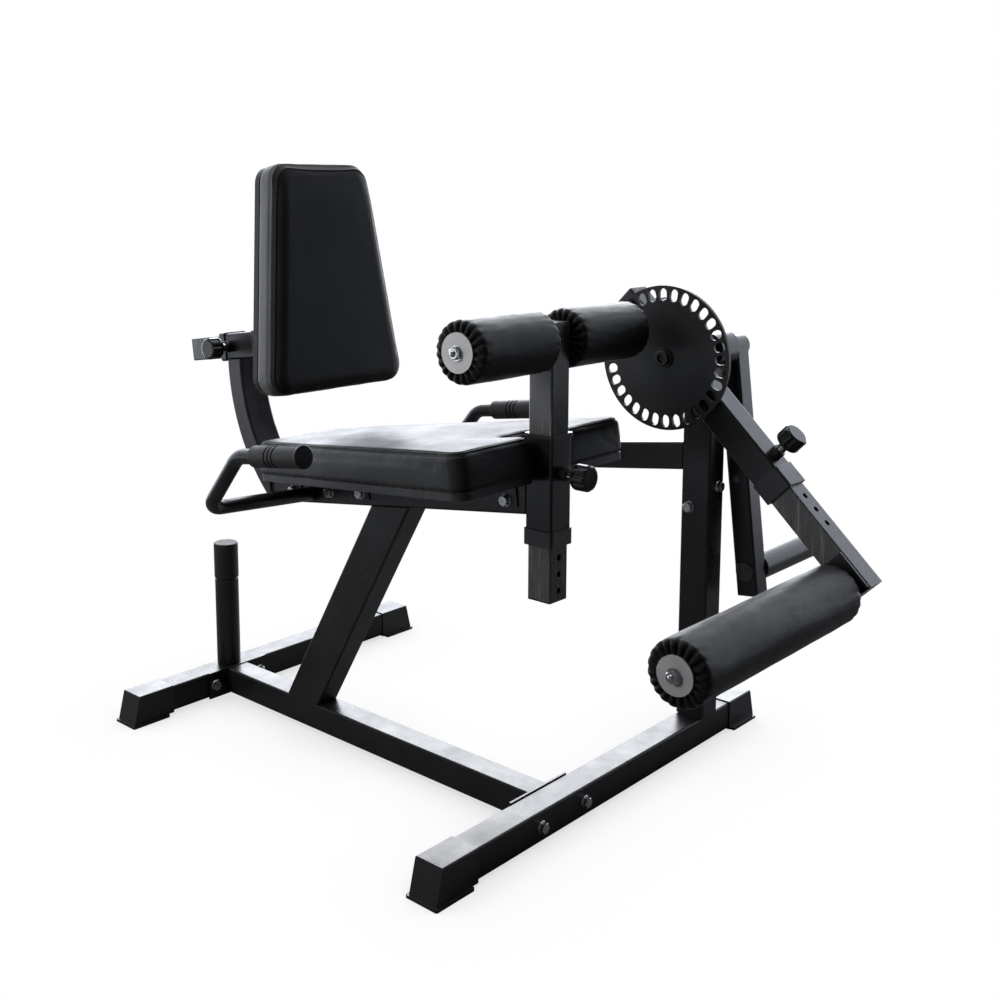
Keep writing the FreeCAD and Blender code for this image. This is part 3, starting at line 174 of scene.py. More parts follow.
# ---- sewing ----
SEAM_WIDTH = 2.2 * MM
TOP_LIFT = 1.0 * MM
STITCH_LENGTH = 3.6 * MM
STITCH_GAP = 1.7 * MM
STITCH_RADIUS = 0.38 * MM
STITCH_OFFSET = 5.0 * MM
STITCH_SIDES = 6
# share of the stitch's length, lift off the cover and thickness, in thread radii
STITCH_RINGS = ((0.0, -0.9, 0.5), (0.16, 0.1, 0.9), (0.5, 0.55, 1.0), (0.84, 0.1, 0.9), (1.0, -0.9, 0.5))
WELT_RADIUS = 1.5 * MM
WELT_SIDES = 10
WELT_SUNK = 0.25
WELT_UNEVEN = 0.12
WELT_WAVE = 1.9
PROBE_START = 30.0 * MM
PROBE_REACH = 60.0 * MM

# ---- rollers ----
PLEATS = 20
STEPS_PER_PLEAT = 14
ROLLER_STATIONS = 70
PLEAT_REACH = 15.0 * MM
PLEAT_DEPTH = 4.2 * MM
PLEAT_FADE = 0.20
PLEAT_FACE = 0.3
PLEAT_RIM_LOSS = 0.1
PLEAT_SHARPNESS = 1.8
RIDGE_OUT = 2.2 * MM
FOLD_IN = 3.6 * MM
RIM_RADIUS = 9.0 * MM
RIM_STEPS = 9
SKIN_WAVE = 0.9 * MM
SKIN_RIPPLE = 0.25 * MM
ROLLER_BORE = 12.8 * MM
BORE_INSET = 1.5 * MM
UNDER_DISC = 22.0 * MM
ROUND_BAR = 14.5 * MM


# ------------------------------------------------------------------ shaders

def new_material(name):
    """A node material and its Principled shader."""
    material = bpy.data.materials.new(name)
    material.use_nodes = True
    return material, material.node_tree.nodes["Principled BSDF"]


def add(owner, kind, inputs=None, **settings):
    """Adds a node to the owner's tree; an input may be a number, a colour or another node's output."""
    node = owner.id_data.nodes.new("ShaderNode" + kind)
    for key, value in settings.items():
        setattr(node, key, value)
    for key, value in (inputs or {}).items():
        set_input(node, key, value)
    return node


def set_input(node, key, value):
    """Links or sets one input; a colour of three numbers gets an alpha of 1."""
    socket = node.inputs[key]
    if isinstance(value, bpy.types.NodeSocket):
        node.id_data.links.new(value, socket)
    elif isinstance(value, (tuple, list)) and socket.type == "RGBA" and len(value) == 3:
        socket.default_value = (*value, 1.0)
    else:
        socket.default_value = value


def grey(level, warmth=0.0):
    """A near-grey colour; warmth tips it from blue towards red."""
    return (level * (1 + warmth), level, level * (1 - warmth))


def place(shader):
    """The shaded point in the piece's own axes."""
    return add(shader, "TexCoord").outputs["Object"]


def stretched(shader, scale):
    """The shaded point with each axis scaled, so that a pattern runs long on the smallest one."""
    mapping = add(shader, "Mapping", {"Vector": place(shader), "Scale": scale})
    return mapping.outputs["Vector"]


def noise_value(shader, scale, detail, vector=None, rough=0.55):
    """Cloudy noise from 0 to 1."""
    inputs = {"Scale": scale, "Detail": detail, "Roughness": rough,
              "Vector": vector or place(shader)}
    return add(shader, "TexNoise", inputs).outputs["Fac"]


def spread(shader, value, low, high, new_low, new_high):
    """Maps a value from one range to another, clamped."""
    inputs = {"Value": value, "From Min": low, "From Max": high,
              "To Min": new_low, "To Max": new_high}
    return add(shader, "MapRange", inputs, clamp=True).outputs["Result"]


def combine(shader, operation, first, second):
    """One arithmetic step on two values."""
    node = add(shader, "Math", {0: first, 1: second}, operation=operation)
    return node.outputs[0]


def blend_colour(shader, share, first, second):
    """The first colour at share 0, the second at 1."""
    node = add(shader, "Mix", data_type="RGBA")
    set_input(node, 0, share)
    set_input(node, 6, first)
    set_input(node, 7, second)
    return node.outputs[2]


def bump(shader, height, distance, strength, below=None):
    """Normals bent by a height pattern, on top of the normals below it."""
    inputs = {"Height": height, "Distance": distance, "Strength": strength}
    if below is not None:
        inputs["Normal"] = below
    return add(shader, "Bump", inputs).outputs["Normal"]


def rounded(shader, radius):
    """Normals that run smoothly round sharp edges, so that they catch the light."""
    return add(shader, "Bevel", {"Radius": radius}, samples=4).outputs["Normal"]


def edge_mask(shader, radius, patch_scale):
    """Near 1 on worn stretches of sharp edges, 0 elsewhere."""
    soft = rounded(shader, radius)
    flat = add(shader, "NewGeometry").outputs["Normal"]
    dot = add(shader, "VectorMath", {0: soft, 1: flat}, operation="DOT_PRODUCT").outputs["Value"]
    edge = spread(shader, dot, 0.97, 0.80, 0.0, 1.0)
    patches = spread(shader, noise_value(shader, patch_scale, detail=4.0), 0.52, 0.68, 0.0, 1.0)
    return combine(shader, "MULTIPLY", edge, patches)


def powder_coat(name, level, rough, grain_scale):
    """Black powder coat: orange peel, faint dust and handling marks, edges rubbed to grey."""
    material, shader = new_material(name)
    clouds = noise_value(shader, 14.0, detail=5.0)
    specks = noise_value(shader, 260.0, detail=2.0)
    base = blend_colour(shader, spread(shader, clouds, 0.35, 0.7, 0.0, 1.0),
                        grey(level * 0.75), grey(level * 1.35))
    dust = spread(shader, specks, 0.66, 0.78, 0.0, 0.35)
    base = blend_colour(shader, dust, base, grey(level * 3.0))
    worn = edge_mask(shader, PAINT_EDGE, 36.0)
    set_input(shader, "Base Color", blend_colour(shader, worn, base, grey(0.09)))
    smudge = noise_value(shader, 22.0, detail=6.0, vector=stretched(shader, (1.0, 1.0, 0.35)))
    set_input(shader, "Roughness", spread(shader, smudge, 0.3, 0.72, rough - 0.07, rough + 0.09))
    set_input(shader, "Specular IOR Level", 0.6)
    set_input(shader, "Coat Weight", 0.25)
    set_input(shader, "Coat Roughness", 0.3)
    set_input(shader, "Coat Normal", rounded(shader, EDGE_ROUNDING))
    peel = noise_value(shader, grain_scale, detail=2.0)
    fine = noise_value(shader, grain_scale * 4.5, detail=1.0)
    first = bump(shader, peel, 0.35 * MM, 0.22, rounded(shader, EDGE_ROUNDING))
    set_input(shader, "Normal", bump(shader, fine, 0.08 * MM, 0.4, first))
    return material


def slide_coat():
    """Thin satin coat on the sliding tubes, with long rub marks from the sleeves; the base grey, lighter
    than the frame's black, is painted light on black tubes.
    """
    material, shader = new_material("slide_coat")
    rubs = noise_value(shader, 30.0, detail=6.0, vector=stretched(shader, (9.0, 9.0, 0.6)))
    clouds = noise_value(shader, 18.0, detail=4.0)
    # Painted light: these tubes are black paint like the frame, given a lighter grey base for the soft
    # light they show.
    base = blend_colour(shader, clouds, grey(0.018), grey(0.042))
    marks = spread(shader, rubs, 0.54, 0.72, 0.0, 0.6)
    worn = edge_mask(shader, PAINT_EDGE, 30.0)
    base = blend_colour(shader, marks, base, grey(0.13))
    set_input(shader, "Base Color", blend_colour(shader, worn, base, grey(0.3)))
    set_input(shader, "Roughness", spread(shader, rubs, 0.3, 0.7, 0.24, 0.40))
    set_input(shader, "Specular IOR Level", 0.95)
    peel = noise_value(shader, 520.0, detail=2.0)
    set_input(shader, "Normal", bump(shader, peel, 0.25 * MM, 0.3, rounded(shader, EDGE_ROUNDING)))
    return material


def bare_metal(name, level, rough_low, rough_high, tint):
    """Plated steel: fine brushing, a slight colour cast and dull fingerprints."""
    material, shader = new_material(name)
    brushed = noise_value(shader, 380.0, detail=3.0, vector=stretched(shader, (1.0, 0.15, 1.0)))
    clouds = noise_value(shader, 70.0, detail=4.0)
    base = blend_colour(shader, clouds, grey(level * 0.82, tint), grey(level, -tint))
    set_input(shader, "Base Color", base)
    set_input(shader, "Metallic", 1.0)
    mixed = combine(shader, "ADD", combine(shader, "MULTIPLY", brushed, 0.6),
                    combine(shader, "MULTIPLY", clouds, 0.4))
    set_input(shader, "Roughness", spread(shader, mixed, 0.35, 0.65, rough_low, rough_high))
    set_input(shader, "Normal", bump(shader, brushed, 0.04 * MM, 0.35))
    return material


def vinyl(name, level, grain, rough, crease, shine):
    """Upholstery vinyl: pebbled leather grain with painted shade in its grooves, soft creases, sheen and a
    faint wear bloom.
    """
    material, shader = new_material(name)
    spot = place(shader)
    wander = add(shader, "TexNoise", {"Scale": grain * 0.35, "Detail": 2.0, "Vector": spot})
    bent = add(shader, "Mix", data_type="VECTOR")
    set_input(bent, 0, 0.0025)
    set_input(bent, 4, spot)
    set_input(bent, 5, wander.outputs["Color"])
    cells = add(shader, "TexVoronoi", {"Scale": grain, "Vector": bent.outputs[1]},
                feature="DISTANCE_TO_EDGE").outputs["Distance"]
    pebbles = spread(shader, cells, 0.0, 0.22, 0.0, 1.0)
    pores = noise_value(shader, grain * 3.2, detail=2.0)
    folds = noise_value(shader, crease, detail=5.0, rough=0.62)
    clouds = noise_value(shader, 9.0, detail=4.0)
    base = blend_colour(shader, spread(shader, clouds, 0.35, 0.68, 0.0, 1.0),
                        grey(level * 0.85, -0.03), grey(level * 1.25, -0.02))
    # Painted shade: the colour darkens in the grooves between the pebbles, where the bump sinks the
    # surface.
    base = blend_colour(shader, spread(shader, pebbles, 0.0, 1.0, 0.45, 0.0), base,
                        grey(level * 0.45))
    set_input(shader, "Base Color", base)
    wear = combine(shader, "ADD", combine(shader, "MULTIPLY", folds, 0.5),
                   combine(shader, "MULTIPLY", clouds, 0.5))
    set_input(shader, "Roughness", spread(shader, wear, 0.36, 0.64, rough - 0.06, rough + 0.08))
    set_input(shader, "Specular IOR Level", shine)
    set_input(shader, "Sheen Weight", 0.03)
    set_input(shader, "Sheen Roughness", 0.4)
    first = bump(shader, folds, 1.4 * MM, 0.22)
    second = bump(shader, pebbles, 0.16 * MM, 0.5, first)
    set_input(shader, "Normal", bump(shader, pores, 0.05 * MM, 0.4, second))
    return material


def moulded(name, level, rough, grain, gloss=0.5, coat=0.0):
    """Moulded plastic or rubber: spark-eroded grain, flow shading and scuffed edges."""
    material, shader = new_material(name)
    flow = noise_value(shader, 32.0, detail=4.0)
    skin = noise_value(shader, grain, detail=2.0)
    base = blend_colour(shader, flow, grey(level * 0.8), grey(level * 1.25))
    worn = edge_mask(shader, MOULDED_EDGE, 55.0)
    set_input(shader, "Base Color", blend_colour(shader, worn, base, grey(level * 2.5 + 0.02)))
    set_input(shader, "Roughness", spread(shader, flow, 0.3, 0.7, rough - 0.06, rough + 0.08))
    set_input(shader, "Specular IOR Level", gloss)
    set_input(shader, "Coat Weight", coat)
    set_input(shader, "Coat Roughness", 0.12)
    set_input(shader, "Normal", bump(shader, skin, 0.12 * MM, 0.35, rounded(shader, MOULDED_ROUNDING)))
    return material


def thread():
    """Bonded black sewing thread with a twist, painted darker in the twist's grooves."""
    material, shader = new_material("sewing_thread")
    twist = add(shader, "TexWave", {"Scale": 900.0, "Distortion": 1.0, "Vector": place(shader)},
                wave_type="BANDS", bands_direction="DIAGONAL").outputs["Fac"]
    # Painted shade: the same bands that cut the twist into the surface make its grooves darker.
    set_input(shader, "Base Color", blend_colour(shader, twist, grey(0.02), grey(0.06)))
    set_input(shader, "Roughness", 0.55)
    set_input(shader, "Sheen Weight", 0.3)
    set_input(shader, "Normal", bump(shader, twist, 0.1 * MM, 0.5))
    return material


MATERIALS = {
    "frame_paint": powder_coat("powder_coat", level=0.006, rough=0.32, grain_scale=480.0),
    "disc_paint": powder_coat("disc_coat", level=0.006, rough=0.5, grain_scale=620.0),
    "slide_paint": slide_coat(),
    "zinc_steel": bare_metal("zinc_plate", level=0.80, rough_low=0.20, rough_high=0.36, tint=0.03),
    "chrome_steel": bare_metal("chrome_plate", level=0.82, rough_low=0.06, rough_high=0.16, tint=0.0),
    "vinyl": vinyl("pad_vinyl", level=0.008, grain=620.0, rough=0.43, crease=16.0, shine=0.25),
    "roller_vinyl": vinyl("roller_vinyl", level=0.007, grain=900.0, rough=0.37, crease=24.0, shine=0.22),
    "board": vinyl("wrap_vinyl", level=0.011, grain=620.0, rough=0.44, crease=30.0, shine=0.4),
    "grip_rubber": moulded("grip_rubber", level=0.010, rough=0.52, grain=900.0),
    "plastic": moulded("moulded_plastic", level=0.008, rough=0.38, grain=1100.0, gloss=0.8, coat=0.35),
    "knob_plastic": moulded("knob_plastic", level=0.006, rough=0.22, grain=400.0, coat=0.3),
    "disc_plastic": moulded("disc_plastic", level=0.23, rough=0.42, grain=700.0),
}
THREAD = thread()
# Lighter, shinier copy of the pad vinyl for the backrest's side band: painted light for the light this
# black side panel reflects.
BAND = vinyl("band_vinyl_painted_light", level=0.05, grain=620.0, rough=0.42, crease=16.0, shine=0.6)


# ------------------------------------------------------------- CAD surfaces

def dress_frame():
    """Gives every CAD node the material of its slot in the record."""
    for entry in frame["record"]["subparts"]:
        obj = frame["nodes"][entry["node"]]
        material = MATERIALS[entry["material_slot"]]
        if not obj.material_slots:
            obj.data.materials.append(material)
        for slot in obj.material_slots:
            slot.link = "OBJECT"
            slot.material = material


# ------------------------------------------------------------- mesh helpers

def new_piece(name, mesh, material, body):
    """A visible piece that rides on a body and carries the given material."""
    piece = bpy.data.objects.new(name, mesh)
    bpy.context.scene.collection.objects.link(piece)
    mesh.materials.clear()
    mesh.materials.append(material)
    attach(piece, body)
    return piece


def mesh_from(name, points, faces):
    """A smooth-shaded mesh."""
    mesh = bpy.data.meshes.new(name)
    mesh.from_pydata([tuple(p) for p in points], [], faces)
    mesh.validate()
    mesh.update()
    mesh.polygons.foreach_set("use_smooth", [True] * len(mesh.polygons))
    return mesh


def points_of(mesh):
    """The mesh's points as rows of an array."""
    values = np.empty(len(mesh.vertices) * 3, np.float64)
    mesh.vertices.foreach_get("co", values)
    return values.reshape(-1, 3)


def set_points(mesh, points):
    """Moves the mesh's points to the rows of an array."""
    mesh.vertices.foreach_set("co", np.asarray(points, np.float32).ravel())
    mesh.update()


def step(value, low, high):
    """Smooth step from 0 at low to 1 at high."""
    share = np.clip((value - low) / (high - low), 0, 1)
    return share * share * (3 - 2 * share)


def slab_frame(node, facing):
    """Matrix of a cushion's own frame: X across, Y along, Z out of its largest flat face."""
    mesh = frame["nodes"][node].data
    largest = max(mesh.polygons, key=lambda polygon: polygon.area)
    out = largest.normal.normalized()
    if out.dot(facing) < 0:
        out = -out
    along = out.cross(X_DIR).normalized()
    across = along.cross(out).normalized()
    points = points_of(mesh)
    low = [min(points @ np.array(axis)) for axis in (across, along, out)]
    high = [max(points @ np.array(axis)) for axis in (across, along, out)]
    origin = across * ((low[0] + high[0]) / 2) + along * low[1] + out * low[2]
    turn = Matrix((across, along, out)).transposed().to_4x4()
    size = Vector(high) - Vector(low)
    return Matrix.Translation(origin) @ turn, size


def outline_of(node, matrix):
    """Closed outline of a slab's underside as evenly spaced points in its own frame."""
    mesh = bmesh.new()
    mesh.from_mesh(frame["nodes"][node].data)
    bmesh.ops.remove_doubles(mesh, verts=mesh.verts, dist=WELD)
    mesh.transform(matrix.inverted())
    low = min(v.co.z for v in mesh.verts)
    flat = [f for f in mesh.faces if max(v.co.z for v in f.verts) < low + FLAT_TOLERANCE]
    inside = set(flat)
    links = {}
    for face in flat:
        for edge in face.edges:
            if any(other not in inside for other in edge.link_faces):
                first, second = edge.verts
                links.setdefault(first.index, []).append(second.index)
                links.setdefault(second.index, []).append(first.index)
    mesh.verts.ensure_lookup_table()
    order = [min(links)]
    previous = None
    while len(order) < 2 or order[-1] != order[0]:
        ahead = [index for index in links[order[-1]] if index != previous]
        previous = order[-1]
        order.append(ahead[0])
    corners = [Vector(mesh.verts[index].co.xy) for index in order[:-1]]
    mesh.free()
    return resample(corners, OUTLINE_PITCH)


def resample(corners, pitch):
    """Evenly spaced points round a closed outline, running anticlockwise."""
    area = sum(a.x * b.y - b.x * a.y for a, b in zip(corners, corners[1:] + corners[:1]))
    if area < 0:
        corners = corners[::-1]
    closed = corners + [corners[0]]
    lengths = [0.0]
    for a, b in zip(closed, closed[1:]):
        lengths.append(lengths[-1] + (b - a).length)
    count = int(lengths[-1] / pitch)
    result = []
    segment = 0
    for index in range(count):
        target = lengths[-1] * index / count
        while lengths[segment + 1] < target:
            segment += 1
        share = (target - lengths[segment]) / (lengths[segment + 1] - lengths[segment])
        result.append(closed[segment].lerp(closed[segment + 1], share))
    return result


def outline_tree(outline):
    """Search tree for the outline point that is nearest to a place in the slab's plane."""
    tree = KDTree(len(outline))
    for index, point in enumerate(outline):
        tree.insert((point.x, point.y, 0), index)
    tree.balance()
    return tree


def distance_from(outline, points):
    """Distance in the slab's plane from each point to the outline."""
    tree = outline_tree(outline)
    return np.array([tree.find((p[0], p[1], 0))[2] for p in points])


def ripple(points, scale, depth, seed):
    """Gentle unevenness that is the same on every run."""
    shift = Vector((seed * 7.3, seed * 3.1, seed * 5.7))
    values = [noise.noise(Vector(p) * scale + shift) for p in points]
    return np.array(values) * depth


# ------------------------------------------------------------------ cushions

def remeshed(source, matrix, voxel, swell):
    """Voxel remesh of a CAD solid in its own frame, let out a little all round."""
    mesh = source.data.copy()
    work = bpy.data.objects.new("work", mesh)
    bpy.context.scene.collection.objects.link(work)
    build = bmesh.new()
    build.from_mesh(mesh)
    bmesh.ops.remove_doubles(build, verts=build.verts, dist=WELD)
    build.transform(matrix.inverted())
    build.to_mesh(mesh)
    build.free()
    modifier = work.modifiers.new("remesh", "REMESH")
    modifier.mode = "VOXEL"
    modifier.voxel_size = voxel
    relax = work.modifiers.new("relax", "SMOOTH")
    relax.factor = RELAX_FACTOR
    relax.iterations = RELAX_ROUNDS
    dense = apply_all(work)
    normals = np.empty(len(dense.vertices) * 3)
    dense.vertices.foreach_get("normal", normals)
    set_points(dense, points_of(dense) + normals.reshape(-1, 3) * swell)
    work.data = dense
    return work


def apply_all(obj):
    """The object's mesh with its modifiers applied; the modifiers are then removed."""
    bpy.context.view_layer.update()
    graph = bpy.context.evaluated_depsgraph_get()
    mesh = bpy.data.meshes.new_from_object(obj.evaluated_get(graph), depsgraph=graph)
    obj.modifiers.clear()
    return mesh


def inflate(work, cap):
    """Cloth simulation under pressure; the underside stays on its board and no point moves past cap."""
    mesh = work.data
    rest = points_of(mesh)
    held = work.vertex_groups.new(name="held")
    held.add([int(i) for i in np.nonzero(rest[:, 2] < HELD_HEIGHT)[0]], 1.0, "REPLACE")
    cloth = work.modifiers.new("cloth", "CLOTH")
    settings = cloth.settings
    settings.quality = CLOTH_QUALITY
    settings.mass = CLOTH_MASS
    settings.tension_stiffness = CLOTH_STRETCH
    settings.compression_stiffness = CLOTH_STRETCH
    settings.shear_stiffness = CLOTH_SHEAR
    settings.bending_stiffness = CLOTH_BENDING
    settings.use_pressure = True
    settings.uniform_pressure_force = CLOTH_PRESSURE
    settings.effector_weights.gravity = 0.0
    settings.vertex_group_mass = "held"
    cloth.collision_settings.use_collision = False
    scene = bpy.context.scene
    scene.frame_start = 1
    scene.frame_end = CLOTH_FRAMES
    for number in range(1, CLOTH_FRAMES + 1):
        scene.frame_set(number)
    puffed = apply_all(work)
    scene.frame_set(1)
    moved = points_of(puffed) - rest
    reach = np.linalg.norm(moved, axis=1)
    limit = cap * np.tanh(reach / cap)
    scale = np.divide(limit, reach, out=np.zeros_like(reach), where=reach > 1e-9)
    set_points(puffed, rest + moved * scale[:, None])
    work.vertex_groups.clear()
    work.data = puffed


def subdivide(work):
    """One level of smooth subdivision."""
    modifier = work.modifiers.new("smooth", "SUBSURF")
    modifier.levels = 1
    modifier.render_levels = 1
    work.data = apply_all(work)


def press_seam(points, height, depth, inward, width=SEAM_WIDTH):
    """Sinks a sewn seam into the side wall at the given height."""
    share = np.exp(-((points[:, 2] - height) / width) ** 2)
    return points + inward * (share * depth)[:, None]


def pucker(points, height, folds, inward, side):
    """Presses small folds into the side panel where it is gathered into a seam."""
    near_seam = np.exp(-((points[:, 2] - height) / PUCKER_REACH) ** 2)
    return points + inward * (folds * near_seam * side)[:, None]


def walls_of(outline, points):
    """Unit direction in the plane towards the cushion's middle, and how far each point is outside."""
    tree = outline_tree(outline)
    count = len(outline)
    inward = np.zeros((len(points), 3))
    outside = np.zeros(len(points))
    for row, p in enumerate(points):
        index = tree.find((p[0], p[1], 0))[1]
        tangent = (outline[(index + 2) % count] - outline[index - 2]).normalized()
        inward[row, :2] = (-tangent.y, tangent.x)
        from_wall = Vector((p[0], p[1])) - outline[index]
        outside[row] = tangent.y * from_wall.x - tangent.x * from_wall.y
    return inward, outside


def hold_shape(points, outline, height, bulge):
    """Keeps a puffed cushion close to its pattern: limited bulge at the sides, limited lift on top."""
    inward, outside = walls_of(outline, points)
    beyond = np.clip(outside, 0, None)
    points = points + inward * (beyond - bulge * np.tanh(beyond / bulge))[:, None]
    above = np.clip(points[:, 2] - height, 0, None)
    points[:, 2] += TOP_LIFT * np.tanh(above / TOP_LIFT) - above
    return points, inward


def finish_cushion(work, matrix, name, node, body):
    """Moves the finished cover into model axes, where it takes the CAD cushion's place."""
    mesh = work.data
    mesh.transform(matrix)
    mesh.polygons.foreach_set("use_smooth", [True] * len(mesh.polygons))
    bpy.data.objects.remove(work)
    piece = new_piece(name, mesh, MATERIALS["vinyl"], body)
    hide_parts(node)
    return piece


def puffed_cover(node, matrix, voxel, swell, cap):
    """A dense cover for a CAD cushion in its own frame, blown up by the cloth simulation."""
    work = remeshed(frame["nodes"][node], matrix, voxel, swell)
    inflate(work, cap)
    subdivide(work)
    return work


def seat_shape(points, outline, height):
    """Flat top with a soft crown, boxed sides that pull in between the corners."""
    points, inward = hold_shape(points, outline, height, SEAT_BULGE)
    inset = distance_from(outline, points)
    low, full = SEAT_TOP_ZONE
    high = step(points[:, 2], height * low, height * full)
    crown = SEAT_CROWN * (step(inset, *SEAT_CROWN_ZONE) - SEAT_CROWN_LEVEL) - TOP_LIFT
    points[:, 2] += crown * high
    side = 1 - step(inset, *SIDE_ZONE)
    waist = np.sin(np.pi * np.clip(points[:, 2] / height, 0, 1))
    slack = ripple(points, scale=11.0, depth=SEAT_SLACK, seed=1)
    points += inward * (side * waist * slack)[:, None]
    seam = height - SEAT_WELT_DROP
    folds = ripple(points * np.array(PUCKER_STRETCH), scale=42.0, depth=SEAT_PUCKER, seed=2)
    points = pucker(points, seam, folds, inward, side)
    points = press_seam(points, seam, SEAT_SEAM_DEPTH, inward * side[:, None])
    points = press_seam(points, BASE_SEAM_HEIGHT, BASE_SEAM_DEPTH, inward * side[:, None])
    wave = ripple(points, scale=6.0, depth=SEAT_WAVE, seed=3)
    points[:, 2] += high * wave * step(inset, *SEAT_WAVE_ZONE)
    points[:, 2] = np.maximum(points[:, 2], BASE_GAP)
    return points


def seat_cushion():
    """The seat's cover, with its welt and a row of stitches."""
    body = "frame"
    matrix, size = slab_frame("seat_pad", UP)
    outline = outline_of("seat_pad", matrix)
    work = puffed_cover("seat_pad", matrix, SEAT_VOXEL, SEAT_SWELL, SEAT_CAP)
    set_points(work.data, seat_shape(points_of(work.data), outline, size.z))
    piece = finish_cushion(work, matrix, "seat_cushion", "seat_pad", body)
    seam = size.z - SEAT_WELT_DROP
    welt(piece, matrix, outline, seam, "seat_welt", body)
    stitch_round(piece, matrix, outline, [seam - STITCH_OFFSET], "seat_stitching", body)


def band_faces(mesh, outline, seam_height):
    """Faces of the side panel between the base and the seam, which get the lighter band vinyl: painted
    light on that panel.
    """
    centres = np.array([polygon.center for polygon in mesh.polygons])
    inset = distance_from(outline, centres)
    within = (inset < BAND_INSET) & (centres[:, 2] > BAND_START) & (centres[:, 2] < seam_height)
    return [int(index) for index in np.nonzero(within)[0]]


def backrest_shape(points, outline, size):
    """Crowned front panel with a sloping border, boxed side panel behind a deep seam."""
    points, inward = hold_shape(points, outline, size.z, BACK_BULGE)
    inset = distance_from(outline, points)
    low, full = BACK_FRONT_ZONE
    front = step(points[:, 2], size.z * low, size.z * full)
    slope = np.clip((BACK_BORDER - inset) / BACK_BORDER, 0, 1)
    border = BACK_BORDER_DROP * slope ** BACK_BORDER_CURVE
    lean = BACK_TOP_LEAN * step(points[:, 1], size.y - BACK_LEAN_ZONE, size.y)
    points[:, 2] += (TOP_LIFT - border - lean) * front
    side = 1 - step(inset, *SIDE_ZONE)
    seam = size.z - BACK_SEAM_BELOW
    belly = np.sin(np.pi * np.clip(points[:, 2] / seam, 0, 1)) * (points[:, 2] < seam)
    slack = BACK_BELLY + ripple(points, scale=13.0, depth=BACK_SLACK, seed=4)
    points += inward * (side * belly * slack)[:, None]
    folds = ripple(points * np.array(PUCKER_STRETCH), scale=46.0, depth=BACK_PUCKER, seed=5)
    points = pucker(points, seam, folds, inward, side)
    points = press_seam(points, seam, BACK_SEAM_DEPTH, inward * side[:, None], BACK_SEAM_WIDTH)
    points = press_seam(points, BASE_SEAM_HEIGHT, BASE_SEAM_DEPTH, inward * side[:, None])
    wave = ripple(points, scale=8.0, depth=BACK_WAVE, seed=6)
    points[:, 2] += front * wave * step(inset, *BACK_WAVE_ZONE)
    points[:, 2] = np.maximum(points[:, 2], BASE_GAP)
    return points


def backrest_cushion():
    """The backrest's cover, its side band in a lighter vinyl that is painted light, with its welt and two
    rows of stitches.
    """
    body = "backrest"
    matrix, size = slab_frame("backrest_pad", Vector((0, -1, 0)))
    outline = outline_of("backrest_pad", matrix)
    work = puffed_cover("backrest_pad", matrix, BACK_VOXEL, BACK_SWELL, BACK_CAP)
    mesh = work.data
    set_points(mesh, backrest_shape(points_of(mesh), outline, size))
    seam = size.z - BACK_SEAM_BELOW
    band = band_faces(mesh, outline, seam)
    piece = finish_cushion(work, matrix, "backrest_cushion", "backrest_pad", body)
    # The side band gets the lighter vinyl, painted light on this panel.
    mesh.materials.append(BAND)
    for index in band:
        mesh.polygons[index].material_index = 1
    welt(piece, matrix, outline, size.z - BACK_WELT_DROP, "backrest_welt", body)
    rows = [seam - STITCH_OFFSET, seam + STITCH_OFFSET]
    stitch_round(piece, matrix, outline, rows, "backrest_stitching", body)


# -------------------------------------------------------------------- sewing

def stitch(points, faces, start, end, normal):
    """One thread stitch: a small rounded bar that dips into the cover at both ends."""
    along = (end - start).normalized()
    across = along.cross(normal).normalized()
    first = len(points)
    for share, lift, swell in STITCH_RINGS:
        centre = start.lerp(end, share) + normal * (lift * STITCH_RADIUS)
        for index in range(STITCH_SIDES):
            angle = 2 * math.pi * index / STITCH_SIDES
            offset = across * math.cos(angle) + normal * math.sin(angle)
            points.append(centre + offset * (STITCH_RADIUS * swell))
    for ring in range(len(STITCH_RINGS) - 1):
        low = first + ring * STITCH_SIDES
        high = low + STITCH_SIDES
        for index in range(STITCH_SIDES):
            after = (index + 1) % STITCH_SIDES
            faces.append((low + index, low + after, high + after, high + index))
    last = first + (len(STITCH_RINGS) - 1) * STITCH_SIDES
    faces.append(tuple(first + index for index in reversed(range(STITCH_SIDES))))
    faces.append(tuple(last + index for index in range(STITCH_SIDES)))


def wall_finder(piece, matrix):
    """A function that finds the side wall of a cushion from outside, in model axes."""
    tree = BVHTree.FromPolygons([v.co for v in piece.data.vertices],
                                [tuple(p.vertices) for p in piece.data.polygons])
    turn = matrix.to_3x3()

    def find(flat, outward, height):
        start = Vector((flat.x, flat.y, height)) + outward * PROBE_START
        return tree.ray_cast(matrix @ start, turn @ -outward, PROBE_REACH)[:2]
    return find


